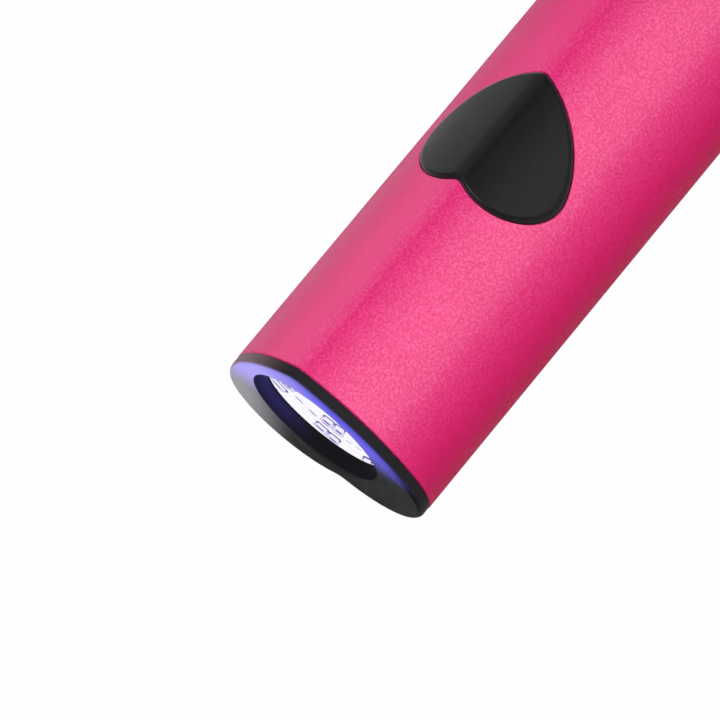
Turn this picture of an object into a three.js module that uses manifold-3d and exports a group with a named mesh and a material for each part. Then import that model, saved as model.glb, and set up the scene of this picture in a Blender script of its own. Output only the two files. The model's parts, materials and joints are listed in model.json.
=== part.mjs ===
// Pocket nail lamp with a heart-shaped section: an extruded metal body, a lit lens end, a heart key
// that straddles the ridge, and a charging end. Millimetres. +Z is up through the ridge, +Y runs from
// the lens to the tail, and the lamp lies on its two lobes with the origin under its middle.
import * as THREE from "three";
import { mergeVertices } from "three/addons/utils/BufferGeometryUtils.js";
import Module from "manifold-3d";

const wasm = await Module();
wasm.setup();

// Body
const overallLength = 95;
const sectionWidth = 30;
const sectionHeight = 27.7;
const sectionTipRadius = 1.8;
const sectionFlankRadius = 23.6;
const sectionLobeRadius = 10.4;
const sectionNotchRadius = 2.4;
const tubeWall = 1.2;

// Clearances
const seatGap = 0.05; // faces that rest on each other
const slideGap = 0.15; // a piece that slides into another
const keyGap = 0.25; // the visible line round the key
const frameGap = 0.3; // the inner frame in the tube

// End caps, front and rear
const flangeThickness = 1.6;
const flangeRound = 0.4;
const flangeStep = 0.05; // how far the flange stands in from the tube
const skirtLength = 5.2;
const skirtWall = 1.2;

// Lens end
const lensRingWidth = 2.9; // from the section's outline to the lens, where they are nearest
const lensThickness = 1.5;
const lensDepth = 1.7;
const lensChamfer = 0.2;
const mouthLip = 0.4; // how much the mouth hides of the lens edge
const throatLip = 0.75;
const seatWall = 1.2;
const gasketWidth = 0.7;
const gasketThickness = 0.5;
const reflectorThickness = 1.8;
const ledBoardThickness = 1.2;
const heatSinkThickness = 2;
const heatSinkEarThickness = 1.5;

// Light-emitting packages, in rows of two, three and two
const beadWidth = 3.5;
const beadHeight = 2.8;
const beadThickness = 0.7;
const beadRim = 0.45;
const beadDish = 0.3;
const beadPitchAcross = 5.1;
const beadPitchUp = 4.4;
const pocketWeb = 0.5;
const pocketGap = 0.1;
const reflectorRim = 0.25;

// Screws
const headScrewRadius = 0.85;
const headScrewLength = 5.4;
const headScrewHeadRadius = 1.5;
const headScrewHeadHeight = 1.2;
const boardScrewRadius = 0.75;
const boardScrewLength = 4;
const boardScrewHeadRadius = 1.35;
const boardScrewHeadHeight = 0.9;
const headTaperShare = 0.8; // top of a screw head against its seat
const screwGap = 0.1;
const screwEnd = 0.8; // free depth past the screw's tip
const driveWidth = 0.35;
const driveDepth = 0.5;
const bossWall = 0.85;
const earTurnShare = -0.1; // share of a turn from the lobe's centre to its head screw

// Key
const keyWidth = 19.5;
const keyLength = 17.6;
const keyTipRadius = 0.9;
const keyFlankRadius = 13.9;
const keyLobeRadius = 6.2;
const keyNotchRadius = 1.7;
const keyFromFront = 30.8; // front face to the key's lobes
const keyProud = 0.55;
const keyEdgeRound = 0.5;
const keyThicknessInside = 0.7; // below the inner face of the tube wall
const keyLipReach = 1.2;
const keyLipThickness = 0.85;
const keyLipWidth = 12;
const keyPostRadius = 2;
const keyPostFromLobes = 8.6;
const keyPostLength = 2.4;
const keyTravel = 0.5;
const keyFootGap = 0.3; // the pressed key to the board
const keyRimShares = [0, 0.12, 0.4, 1]; // rows across the rounded rim

// Push switch under the key
const switchWidth = 6;
const switchHeight = 3.5;
const switchFloor = 0.8;
const switchCover = 0.4;
const switchCavityRadius = 2.5;
const plungerRadius = 1.75;
const plungerRise = 1.5;
const plungerDiscRadius = 2.3;
const plungerDiscThickness = 0.6;
const domeRise = 1.4;
const domeThickness = 0.12;

// Battery
const cellLength = 48.5;
const cellGrooveDepth = 0.5;
const cellGrooveFromEnd = 2.6;
const cellEdge = 0.5;
const capNubRadius = 2.6;
const capNubHeight = 1.2;
const capTaperShare = 0.9;
const capFlangeRadius = 4.5;
const capFlangeThickness = 0.5;
const sleeveThickness = 0.12;
const padThickness = 0.5;
const padWidth = 3.4;
const padLength = 40;
const tabWidth = 4;
const tabThickness = 0.25;
const tabFoot = 3;
const sheetThickness = 0.15;

// Inner frame
const frameWall = 1.2;
const frameRibCount = 5;
const frameRibThickness = 1.2;
const endWallThickness = 1.6;
const endWallDrop = 3; // how far the end walls stop below the board

// Control board
const boardThickness = 1;
const boardSideGap = 0.2;
const boardFromFront = 13;
const boardCorner = 1;
const boardScrewFromEnd = 2.6;
const boardScrewInFromEdge = 1.5;
const passiveLength = 1.6;
const passiveWidth = 0.8;
const passiveHeight = 0.5;
const passivePitch = 2.1;
const passiveCount = 6;
const passiveRowFromMiddle = 6.4;

// Charging socket
const socketWidth = 8.94;
const socketHeight = 3.26;
const socketLength = 7.35;
const socketWall = 0.3;
const socketInFromFace = 0.4;
const socketLegWidth = 0.9;
const socketLegDrop = 0.8;
const socketLegShares = [0.3, 0.8]; // places of the legs, from the mouth
const tongueWidth = 6.6;
const tongueThickness = 0.7;
const tongueShort = 0.9; // how far the tongue stops inside the mouth
const tongueBase = 1.6;
const portChamfer = 0.35;

// Charge light
const pipeRadius = 0.75;
const pipeFlangeRadius = 0.95;
const pipeFlangeThickness = 0.6;
const pipeAboveBoard = 1;
const indicatorWidth = 1.6;
const indicatorHeight = 0.8;
const indicatorLength = 1.2;

// Wires to the light-emitting board
const leadRadius = 0.55;
const leadSpread = 2.2;
const leadNotchHeight = 3.2;
const leadOnBoard = 4;
const leadSides = 8;
const leadSteps = 14;

// Chips on the control board: size across, along and up, place across and distance from the tail
const chipGap = seatGap;
const chargeChip = { across: 3.9, along: 4.9, up: 1.5, x: -4.2, fromTail: 17 };
const timerChip = { across: 3.9, along: 4.9, up: 1.5, x: 4.2, fromTail: 33 };
const driverMosfet = { across: 2.9, along: 1.6, up: 1.1, x: 4.2, fromTail: 25 };
const powerInductor = { across: 5, along: 5, up: 2.4, x: -3.4, fromTail: 27 };

// Modelling
const flatness = 0.03; // largest gap between a facet and its true arc
const overrun = 3; // how far a cutter runs past what it cuts
const bigHeight = 60; // taller than the lamp, for cutters that leave a half space
const weld = 1e-4;
const roundSteps = 3;
const keyEdgeTrim = 0.03;
const quarterTurn = Math.PI / 2;

// Arcs and hearts

function facets(radius, turn) {
  const step = 2 * Math.acos(1 - Math.min(flatness / radius, 1));
  return Math.max(1, Math.ceil(Math.abs(turn) / step));
}

function arcPoints(centre, radius, offset, from, to) {
  const count = facets(radius, to - from);
  const points = [];
  for (let i = 0; i <= count; i++) {
    const angle = from + ((to - from) * i) / count;
    const reach = radius + offset;
    points.push(new THREE.Vector2(centre.x + reach * Math.cos(angle), centre.y + reach * Math.sin(angle)));
  }
  return points;
}

function bearing(from, to) {
  return Math.atan2(to.y - from.y, to.x - from.x);
}

// A heart of tangent circles: a tip, a flank and a lobe on each side, and a hollow notch between the
// lobes. Its lobes rest on v = 0 and its tip points to +v.
function heart(width, height, tipRadius, flankRadius, lobeRadius, notchRadius) {
  const tip = new THREE.Vector2(0, height - tipRadius);
  const lobe = new THREE.Vector2(width / 2 - lobeRadius, lobeRadius);
  const chord = lobe.clone().sub(tip);
  const toTip = flankRadius - tipRadius;
  const toLobe = flankRadius - lobeRadius;
  const along = (toTip ** 2 - toLobe ** 2 + chord.lengthSq()) / (2 * chord.length());
  const across = Math.sqrt(toTip ** 2 - along ** 2);
  const unit = chord.clone().normalize();
  const side = new THREE.Vector2(unit.y, -unit.x);
  const flank = tip.clone().addScaledVector(unit, along).addScaledVector(side, across);
  const drop = Math.sqrt((lobeRadius + notchRadius) ** 2 - lobe.x ** 2);
  const notch = new THREE.Vector2(0, lobe.y - drop);
  return {
    width, tip, flank, lobe, notch, tipRadius, flankRadius, lobeRadius, notchRadius,
    tipEnd: bearing(flank, tip),
    flankEnd: bearing(flank, lobe),
    lobeEnd: bearing(lobe, notch),
    notchStart: bearing(notch, lobe),
  };
}

// The heart's outline, drawn in by inset, or out where inset is negative.
function heartPoints(h, inset = 0) {
  const sharp = inset >= h.tipRadius;
  const flankStart = sharp ? Math.acos(-h.flank.x / (h.flankRadius - inset)) : h.tipEnd;
  const tipArc = sharp ? [] : arcPoints(h.tip, h.tipRadius, -inset, quarterTurn, h.tipEnd);
  const half = [
    ...tipArc,
    ...arcPoints(h.flank, h.flankRadius, -inset, flankStart, h.flankEnd).slice(sharp ? 0 : 1),
    ...arcPoints(h.lobe, h.lobeRadius, -inset, h.flankEnd, h.lobeEnd).slice(1),
    ...arcPoints(h.notch, h.notchRadius, inset, h.notchStart, quarterTurn).slice(1),
  ];
  const mirrored = half.slice(1, -1).map((p) => new THREE.Vector2(-p.x, p.y));
  return [...half, ...mirrored.reverse()];
}

function upperEdge(h, inset, u) {
  const x = Math.abs(u);
  const tipReach = h.tipRadius - inset;
  if (tipReach > 0 && x < tipReach * Math.cos(h.tipEnd)) return h.tip.y + Math.sqrt(tipReach ** 2 - x ** 2);
  const flankReach = h.flankRadius - inset;
  if (x < h.flank.x + flankReach * Math.cos(h.flankEnd)) {
    return h.flank.y + Math.sqrt(flankReach ** 2 - (x - h.flank.x) ** 2);
  }
  return h.lobe.y + Math.sqrt(Math.max(0, (h.lobeRadius - inset) ** 2 - (x - h.lobe.x) ** 2));
}

function lowerEdge(h, inset, u) {
  const x = Math.abs(u);
  const notchReach = h.notchRadius + inset;
  if (x < notchReach * Math.cos(h.notchStart)) return h.notch.y + Math.sqrt(notchReach ** 2 - x ** 2);
  return h.lobe.y - Math.sqrt(Math.max(0, (h.lobeRadius - inset) ** 2 - (x - h.lobe.x) ** 2));
}

// Half the width of the inset heart at a height on its flank or its lobe.
function halfWidthAt(h, inset, v) {
  const flankReach = h.flankRadius - inset;
  const onFlank = v > h.flank.y + flankReach * Math.sin(h.flankEnd);
  const [centre, reach] = onFlank ? [h.flank, flankReach] : [h.lobe, h.lobeRadius - inset];
  return centre.x + Math.sqrt(reach ** 2 - (v - centre.y) ** 2);
}

// The largest circle inside the heart, found by halving.
function inscribedCircle(h) {
  let low = h.lobe.y / 2;
  let high = h.tip.y;
  for (let i = 0; i < 40; i++) {
    const middle = (low + high) / 2;
    const toFlank = h.flankRadius - Math.hypot(h.flank.x, middle - h.flank.y);
    const toNotch = middle - h.notch.y - h.notchRadius;
    if (toNotch < toFlank) low = middle;
    else high = middle;
  }
  const height = (low + high) / 2;
  return { height, radius: height - h.notch.y - h.notchRadius };
}

// Solids

function solid(geometry) {
  const bare = geometry.index ? geometry.toNonIndexed() : geometry.clone();
  bare.deleteAttribute("normal");
  bare.deleteAttribute("uv");
  const merged = mergeVertices(bare, weld);
  return new wasm.Manifold(
    new wasm.Mesh({
      numProp: 3,
      vertProperties: merged.attributes.position.array,
      triVerts: new Uint32Array(merged.index.array),
    }),
  );
}

function geometryOf(made) {
  const mesh = made.getMesh();
  const indexed = new THREE.BufferGeometry();
  indexed.setAttribute("position", new THREE.BufferAttribute(new Float32Array(mesh.vertProperties), 3));
  indexed.setIndex(new THREE.BufferAttribute(new Uint32Array(mesh.triVerts), 1));
  const flat = indexed.toNonIndexed();
  flat.computeVertexNormals();
  return flat;
}

function prism(points, depth) {
  return new THREE.ExtrudeGeometry(new THREE.Shape(points), { depth, bevelEnabled: false });
}

function prismAlongY(points, from, to) {
  return solid(prism(points, to - from).rotateX(quarterTurn).translate(0, to, 0));
}

function prismAlongZ(points, from, to) {
  return solid(prism(points, to - from).translate(0, 0, from));
}

function coneAlongY(radiusFrom, radiusTo, from, to, x = 0, z = 0) {
  const sides = facets(Math.max(radiusFrom, radiusTo), 2 * Math.PI);
  const geometry = new THREE.CylinderGeometry(radiusTo, radiusFrom, to - from, sides);
  return solid(geometry.translate(x, (from + to) / 2, z));
}

function rodAlongY(radius, from, to, x = 0, z = 0) {
  return coneAlongY(radius, radius, from, to, x, z);
}

function rodAlongZ(radius, from, to, x = 0, y = 0) {
  const geometry = new THREE.CylinderGeometry(radius, radius, to - from, facets(radius, 2 * Math.PI));
  return solid(geometry.rotateX(quarterTurn).translate(x, y, (from + to) / 2));
}

function block(x0, x1, y0, y1, z0, z1) {
  const geometry = new THREE.BoxGeometry(x1 - x0, y1 - y0, z1 - z0);
  return solid(geometry.translate((x0 + x1) / 2, (y0 + y1) / 2, (z0 + z1) / 2));
}

// A block whose far end, at y1, is widened by grow on each side.
function flaredBlock(width, height, grow, y0, y1, x, z) {
  const geometry = new THREE.BoxGeometry(width, y1 - y0, height);
  const place = geometry.attributes.position;
  for (let i = 0; i < place.count; i++) {
    if (place.getY(i) < 0) continue;
    place.setX(i, place.getX(i) + Math.sign(place.getX(i)) * grow);
    place.setZ(i, place.getZ(i) + Math.sign(place.getZ(i)) * grow);
  }
  return solid(geometry.translate(x, (y0 + y1) / 2, z));
}

// A slot outline with round ends, drawn about its centre.
function stadium(width, height) {
  const radius = height / 2;
  const middle = new THREE.Vector2(width / 2 - radius, 0);
  const right = arcPoints(middle, radius, 0, -quarterTurn, quarterTurn);
  const left = right.map((p) => new THREE.Vector2(-p.x, -p.y));
  return [...right, ...left];
}

function moved(points, x, y) {
  return points.map((p) => new THREE.Vector2(p.x + x, p.y + y));
}

function roundedRectangle(x0, x1, y0, y1, radius) {
  const corner = (x, y, turn) => arcPoints(new THREE.Vector2(x, y), radius, 0, turn, turn + quarterTurn);
  return [
    ...corner(x1 - radius, y1 - radius, 0),
    ...corner(x0 + radius, y1 - radius, quarterTurn),
    ...corner(x0 + radius, y0 + radius, 2 * quarterTurn),
    ...corner(x1 - radius, y0 + radius, 3 * quarterTurn),
  ];
}

// A closed skin over rings of points that all have the same count, with flat ends. The ring planes
// are seen along one axis, named "x" or "y".
function loft(rings, axis) {
  const count = rings[0].length;
  const flat = (p) => (axis === "y" ? new THREE.Vector2(p.x, p.z) : new THREE.Vector2(p.y, p.z));
  const contour = rings[0].map(flat);
  const travel = Math.sign(rings[1][0][axis] - rings[0][0][axis]);
  const outward = Math.sign(THREE.ShapeUtils.area(contour)) * travel * (axis === "y" ? -1 : 1) > 0;
  const index = [];
  const triangle = (a, b, c) => index.push(...(outward ? [a, b, c] : [a, c, b]));
  for (let k = 0; k + 1 < rings.length; k++) {
    for (let i = 0; i < count; i++) {
      const j = (i + 1) % count;
      triangle(k * count + i, k * count + j, (k + 1) * count + j);
      triangle(k * count + i, (k + 1) * count + j, (k + 1) * count + i);
    }
  }
  const last = (rings.length - 1) * count;
  const turned = THREE.ShapeUtils.area(contour) > 0;
  for (const [a, b, c] of THREE.ShapeUtils.triangulateShape(contour, [])) {
    const area = THREE.ShapeUtils.area([contour[a], contour[b], contour[c]]);
    const [q, r] = area > 0 === turned ? [b, c] : [c, b];
    triangle(a, r, q);
    triangle(last + a, last + q, last + r);
  }
  const geometry = new THREE.BufferGeometry();
  const places = rings.flat().flatMap((p) => [p.x, p.y, p.z]);
  geometry.setAttribute("position", new THREE.Float32BufferAttribute(places, 3));
  geometry.setIndex(index);
  return solid(geometry);
}

function union(solids) {
  return solids.reduce((sum, next) => sum.add(next));
}

// Places worked out from the sizes. Lengths run from the front face.

const section = heart(
  sectionWidth, sectionHeight, sectionTipRadius, sectionFlankRadius, sectionLobeRadius, sectionNotchRadius,
);
const keyPlan = heart(keyWidth, keyLength, keyTipRadius, keyFlankRadius, keyLobeRadius, keyNotchRadius);
const lensRoom = inscribedCircle(section);
const lensCentre = lensRoom.height;
const lensRadius = lensRoom.radius - lensRingWidth;
const skirtInset = tubeWall + slideGap;
const frameInset = tubeWall + frameGap;
const flangeInner = overallLength - flangeThickness;

const lensFront = lensDepth + seatGap;
const gasketFront = lensFront + lensThickness + seatGap;
const reflectorFront = gasketFront + gasketThickness + seatGap;
const ledBoardFront = reflectorFront + reflectorThickness + seatGap;
const heatSinkFront = ledBoardFront + ledBoardThickness + seatGap;
const headScrewSeat = heatSinkFront + heatSinkEarThickness + seatGap;
const seatRadius = lensRadius + slideGap;
const bossRadius = headScrewRadius + bossWall;
const earAngle = 2 * Math.PI * earTurnShare;
const earReach = sectionLobeRadius - skirtInset - bossRadius;
const earX = section.lobe.x + earReach * Math.cos(earAngle);
const earZ = section.lobe.y + earReach * Math.sin(earAngle);

const frameFront = headScrewSeat + headScrewHeadHeight + frameGap;
const frameRear = flangeInner - skirtLength - frameGap;

// The stack under the key, from the ridge down. The cell takes the room that is left.
const plungerTop = upperEdge(section, tubeWall + keyThicknessInside, 0) - keyPostLength - seatGap;
const switchTop = plungerTop - plungerRise;
const switchBottom = switchTop - switchHeight;
const boardTop = switchBottom - seatGap;
const boardBottom = boardTop - boardThickness;
const frameTop = boardBottom - seatGap;
const sheetBottom = frameTop - seatGap - sheetThickness;
const cellFloor = lowerEdge(section, tubeWall, 0) + seatGap + padThickness + seatGap;
const cellPackRadius = (sheetBottom - seatGap - cellFloor) / 2;
const cellRadius = cellPackRadius - sleeveThickness - seatGap;
const cellHeight = cellFloor + cellPackRadius;
const sheetWidth = 2 * cellRadius;
const cellPackLength = cellLength + seatGap + capFlangeThickness + capNubHeight;
const bayLength = cellPackLength + 2 * (tabThickness + 2 * seatGap);
const bayFront = (frameFront + frameRear - bayLength) / 2;
const bayRear = bayFront + bayLength;
const cellRear = bayRear - tabThickness - 2 * seatGap;
const cellFront = cellRear - cellLength;

const boardHalfWidth = halfWidthAt(section, skirtInset + skirtWall, boardTop) - boardSideGap;
const boardRear = flangeInner - boardSideGap;
const boardScrewX = boardHalfWidth - boardScrewInFromEdge;
const boardScrewFront = boardFromFront + boardScrewFromEnd;
const boardScrewRear = frameRear - endWallThickness - boardScrewFromEnd;
const boardScrewBoss = boardScrewRadius + bossWall;

const keyPostY = keyFromFront + keyPostFromLobes;
const socketMouth = overallLength - socketInFromFace;
const socketBack = socketMouth - socketLength;
const socketMiddle = boardTop + seatGap + socketHeight / 2;
const pipeHeight = boardTop + pipeAboveBoard;
const pipeFromMiddle = (socketWidth / 2 + boardHalfWidth) / 2;
const pipeInner = flangeInner - pipeFlangeThickness - seatGap;

// Finishes

function finish(color, roughness, metalness, more = {}) {
  return new THREE.MeshStandardMaterial({ color, roughness, metalness, ...more });
}

const pinkMetal = finish(0xd81f63, 0.38, 0.85);
const blackGloss = finish(0x1c1c1e, 0.3, 0);
const keyBlack = finish(0x232426, 0.42, 0);
const clearPlastic = finish(0xe6e4ff, 0.08, 0, { transparent: true, opacity: 0.35 });
const whitePlastic = finish(0xf4f3fa, 0.35, 0);
const greyPlastic = finish(0x6d6f73, 0.6, 0);
const silicone = finish(0xcfd0d2, 0.7, 0);
const bareMetal = finish(0xb9bcc0, 0.35, 1);
const goldMetal = finish(0xc9a24a, 0.3, 1);
const steel = finish(0x8d9096, 0.3, 1);
const boardGreen = finish(0x1f6b3f, 0.5, 0);
const chipBlack = finish(0x17181a, 0.55, 0);
const inductorGrey = finish(0x3b3c40, 0.6, 0.2);
const sleeveBlue = finish(0x2b5fb0, 0.35, 0);
const paper = finish(0xcbbf9a, 0.9, 0);
const foam = finish(0x2d2e30, 0.95, 0);
const redWire = finish(0xb3202a, 0.45, 0);
const blackWire = finish(0x1b1b1d, 0.45, 0);
const emitter = finish(0xe9e4ff, 0.3, 0, { emissive: 0xb9a8ff });

const lamp = new THREE.Group();
lamp.position.y = -overallLength / 2;

function add(name, shape, material, x = 0, y = 0, z = 0) {
  const mesh = new THREE.Mesh(shape.isBufferGeometry ? shape : geometryOf(shape), material);
  mesh.name = name;
  mesh.position.set(x, y, z);
  lamp.add(mesh);
}

// Body tube: one extrusion, with the key's window cut straight down through its ridge.

function keyOutline(grow) {
  return moved(heartPoints(keyPlan, -grow), 0, keyFromFront);
}

function bodyTube() {
  const from = flangeThickness + seatGap;
  const to = flangeInner - seatGap;
  const outside = prismAlongY(heartPoints(section), from, to);
  const inside = prismAlongY(heartPoints(section, tubeWall), from - overrun, to + overrun);
  const window = prismAlongZ(keyOutline(keyGap), boardTop, sectionHeight + overrun);
  return outside.subtract(inside).subtract(window);
}

// End caps: a flange with a rounded rim, and a skirt that plugs into the tube.

function flange(face, seam) {
  const inward = Math.sign(seam - face);
  const ring = (inset, y) => heartPoints(section, inset).map((p) => new THREE.Vector3(p.x, y, p.y));
  const rings = [];
  for (let i = 0; i <= roundSteps; i++) {
    const angle = (quarterTurn * i) / roundSteps;
    const inset = flangeStep + flangeRound * (1 - Math.sin(angle));
    rings.push(ring(inset, face + inward * flangeRound * (1 - Math.cos(angle))));
  }
  rings.push(ring(flangeStep, seam));
  return loft(rings, "y");
}

function plug(from, to) {
  return prismAlongY(heartPoints(section, skirtInset), from, to);
}

function plugRoom(from, to) {
  return prismAlongY(heartPoints(section, skirtInset + skirtWall), from, to);
}

function frontBezel() {
  const root = flangeThickness - seatGap;
  const rear = flangeThickness + skirtLength;
  const bossEnd = heatSinkFront - seatGap;
  const seat = rodAlongY(seatRadius + seatWall, root, ledBoardFront, 0, lensCentre);
  const bosses = [earX, -earX].map((x) => rodAlongY(bossRadius, root, bossEnd, x, earZ));
  const room = plugRoom(flangeThickness, rear + overrun).subtract(union([seat, ...bosses]));
  const whole = flange(0, flangeThickness).add(plug(root, rear)).subtract(room);
  const mouth = coneAlongY(lensRadius - mouthLip, lensRadius - throatLip, 0, lensDepth, 0, lensCentre);
  const mouthEntry = rodAlongY(lensRadius - mouthLip, -overrun, 0, 0, lensCentre);
  const bore = rodAlongY(seatRadius, lensDepth, rear + overrun, 0, lensCentre);
  const pilotFrom = headScrewSeat - headScrewLength - screwEnd;
  const pilots = [earX, -earX].map((x) => {
    return rodAlongY(headScrewRadius + screwGap, pilotFrom, rear + overrun, x, earZ);
  });
  return whole.subtract(union([mouth, mouthEntry, bore, ...pilots]));
}

function lensWindow() {
  const core = lensThickness - 2 * lensChamfer;
  const profile = [
    new THREE.Vector2(0, 0),
    new THREE.Vector2(lensRadius - lensChamfer, 0),
    new THREE.Vector2(lensRadius, lensChamfer),
    new THREE.Vector2(lensRadius, lensChamfer + core),
    new THREE.Vector2(lensRadius - lensChamfer, lensThickness),
    new THREE.Vector2(0, lensThickness),
  ];
  return solid(new THREE.LatheGeometry(profile, facets(lensRadius, 2 * Math.PI)));
}

function lensGasket() {
  const outer = rodAlongY(lensRadius, 0, gasketThickness);
  return outer.subtract(rodAlongY(lensRadius - gasketWidth, -overrun, gasketThickness + overrun));
}

function beadPlaces() {
  const places = [];
  [2, 3, 2].forEach((inRow, row) => {
    for (let i = 0; i < inRow; i++) {
      places.push({ x: (i - (inRow - 1) / 2) * beadPitchAcross, z: (1 - row) * beadPitchUp });
    }
  });
  return places;
}

// One plate with a flared pocket round each bead.
function reflector() {
  const plate = rodAlongY(lensRadius, 0, reflectorThickness);
  const narrowWidth = beadWidth + 2 * pocketGap;
  const narrowHeight = beadHeight + 2 * pocketGap;
  const growAcross = (beadPitchAcross - pocketWeb - narrowWidth) / 2;
  const growUp = (beadPitchUp - pocketWeb - narrowHeight) / 2;
  const grow = Math.min(growAcross, growUp);
  const pockets = beadPlaces().map(({ x, z }) => {
    const cone = flaredBlock(narrowWidth, narrowHeight, grow, 0, reflectorThickness, 0, 0);
    const turned = cone.rotate([180, 0, 0]).translate([x, reflectorThickness, z]);
    const through = block(
      x - narrowWidth / 2, x + narrowWidth / 2, -overrun, reflectorThickness + overrun,
      z - narrowHeight / 2, z + narrowHeight / 2,
    );
    return turned.add(through);
  });
  const withinRim = rodAlongY(lensRadius - reflectorRim, -overrun, reflectorThickness + overrun);
  return plate.subtract(union(pockets).intersect(withinRim));
}

function ledBead() {
  const body = block(-beadWidth / 2, beadWidth / 2, 0, beadThickness, -beadHeight / 2, beadHeight / 2);
  const dishWidth = beadWidth - 2 * beadRim;
  const dishHeight = beadHeight - 2 * beadRim;
  const dish = block(-dishWidth / 2, dishWidth / 2, -overrun, beadDish, -dishHeight / 2, dishHeight / 2);
  return body.subtract(dish);
}

function wireNotch(from, to) {
  const half = leadSpread + 2 * leadRadius;
  return block(-half, half, from - overrun, to + overrun, lensRadius - leadNotchHeight, bigHeight);
}

function ledBoard() {
  return rodAlongY(lensRadius, 0, ledBoardThickness);
}

// Plate behind the light-emitting board, with an ear for each screw and a notch for the wires.
function heatSink() {
  const plate = rodAlongY(lensRadius, 0, heatSinkThickness);
  const earDrop = earZ - lensCentre;
  const ears = [earX, -earX].map((x) => {
    const tip = rodAlongY(bossRadius, 0, heatSinkEarThickness, x, earDrop);
    const root = rodAlongY(bossRadius, 0, heatSinkEarThickness, x / 2, earDrop / 2);
    return wasm.Manifold.hull([tip, root]);
  });
  const holes = [earX, -earX].map((x) => {
    return rodAlongY(headScrewRadius + screwGap, -overrun, heatSinkThickness + overrun, x, earDrop);
  });
  const whole = union([plate, ...ears]).subtract(wireNotch(0, heatSinkThickness));
  const within = prismAlongY(heartPoints(section, frameInset), -overrun, heatSinkThickness + overrun);
  return whole.intersect(within.translate([0, 0, -lensCentre])).subtract(union(holes));
}

// A pan-head screw that points to -Y, with its head seated on y = 0 and a cross recess.
function screw(radius, length, headRadius, headHeight) {
  const tip = coneAlongY(radius / 2, radius, -length, radius - length);
  const shank = rodAlongY(radius, radius - length - seatGap, headHeight / 2);
  const head = coneAlongY(headRadius, headRadius * headTaperShare, 0, headHeight);
  const from = headHeight - driveDepth;
  const reach = headRadius / 2;
  const cross = union([
    block(-reach, reach, from, headHeight + overrun, -driveWidth / 2, driveWidth / 2),
    block(-driveWidth / 2, driveWidth / 2, from, headHeight + overrun, -reach, reach),
  ]);
  return union([tip, shank, head]).subtract(cross);
}

// Key: a heart that bends over the ridge, with a rounded rim, lips that hold it in the window, and a
// post that pushes the switch.

function edgeDistance(outline, x, y) {
  let least = Infinity;
  const point = new THREE.Vector3(x, y, 0);
  const nearest = new THREE.Vector3();
  outline.forEach((a, i) => {
    const b = outline[(i + 1) % outline.length];
    const line = new THREE.Line3(new THREE.Vector3(a.x, a.y, 0), new THREE.Vector3(b.x, b.y, 0));
    line.closestPointToPoint(point, true, nearest);
    least = Math.min(least, nearest.distanceTo(point));
  });
  return least;
}

// Places across the key: wherever the section or the key's own outline has a corner.
function keyColumns() {
  const half = keyWidth / 2 - keyEdgeTrim;
  const corners = [...heartPoints(section, -keyProud), ...heartPoints(keyPlan)].map((p) => Math.abs(p.x));
  const right = [0, ...corners.filter((x) => x < half - keyEdgeTrim), half].sort((a, b) => a - b);
  const apart = right.filter((x, i) => i === 0 || x === half || x - right[i - 1] > 4 * keyEdgeTrim);
  return [...apart.slice(1).reverse().map((x) => -x), ...apart];
}

function keyBlank() {
  const outline = heartPoints(keyPlan);
  const foot = boardTop + keyTravel + keyFootGap;
  const rings = keyColumns().map((x) => {
    const low = lowerEdge(keyPlan, 0, x);
    const high = upperEdge(keyPlan, 0, x);
    const reach = Math.min(keyEdgeRound, (high - low) / 3);
    const near = keyRimShares.map((share) => low + share * reach);
    const far = keyRimShares.map((share) => high - share * reach).reverse();
    const middle = (near[near.length - 1] + far[0]) / 2;
    const top = [...near, middle, ...far].map((y) => {
      const into = Math.min(edgeDistance(outline, x, y), keyEdgeRound);
      const drop = keyEdgeRound - Math.sqrt(keyEdgeRound ** 2 - (keyEdgeRound - into) ** 2);
      return new THREE.Vector3(x, keyFromFront + y, upperEdge(section, -keyProud, x) - drop);
    });
    const under = [high, low].map((y) => new THREE.Vector3(x, keyFromFront + y, foot));
    return [...top, ...under];
  });
  return loft(rings, "x");
}

function keyCap() {
  const keyFrom = keyFromFront - keyLipReach - overrun;
  const keyTo = keyFromFront + keyLength + keyLipReach + overrun;
  const belowTube = (inset) => prismAlongY(heartPoints(section, inset), keyFrom, keyTo);
  const shell = keyBlank().subtract(belowTube(tubeWall + keyThicknessInside));
  const lipTop = tubeWall + slideGap;
  const lipArea = prismAlongZ(keyOutline(keyLipReach), boardTop, sectionHeight);
  const lipBand = belowTube(lipTop).subtract(belowTube(lipTop + keyLipThickness));
  const lipSpan = block(-keyLipWidth / 2, keyLipWidth / 2, keyFrom, keyTo, switchTop, sectionHeight);
  const lips = lipArea.intersect(lipBand).intersect(lipSpan);
  const post = rodAlongZ(keyPostRadius, plungerTop + seatGap, sectionHeight - tubeWall, 0, keyPostY);
  return union([shell, lips, post]);
}

// Push switch: a box with a round chamber, a snap dome on its floor and a plunger over it.

function switchBase() {
  const half = switchWidth / 2;
  const body = block(-half, half, -half, half, 0, switchHeight);
  const chamber = rodAlongZ(switchCavityRadius, switchFloor, switchHeight - switchCover);
  const hole = rodAlongZ(plungerRadius + screwGap, switchFloor, switchHeight + overrun);
  return body.subtract(chamber).subtract(hole);
}

function switchPlunger() {
  const discTop = switchHeight - switchCover - seatGap;
  const disc = rodAlongZ(plungerDiscRadius, discTop - plungerDiscThickness, discTop);
  return disc.add(rodAlongZ(plungerRadius, discTop - plungerDiscThickness, switchHeight + plungerRise));
}

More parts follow.
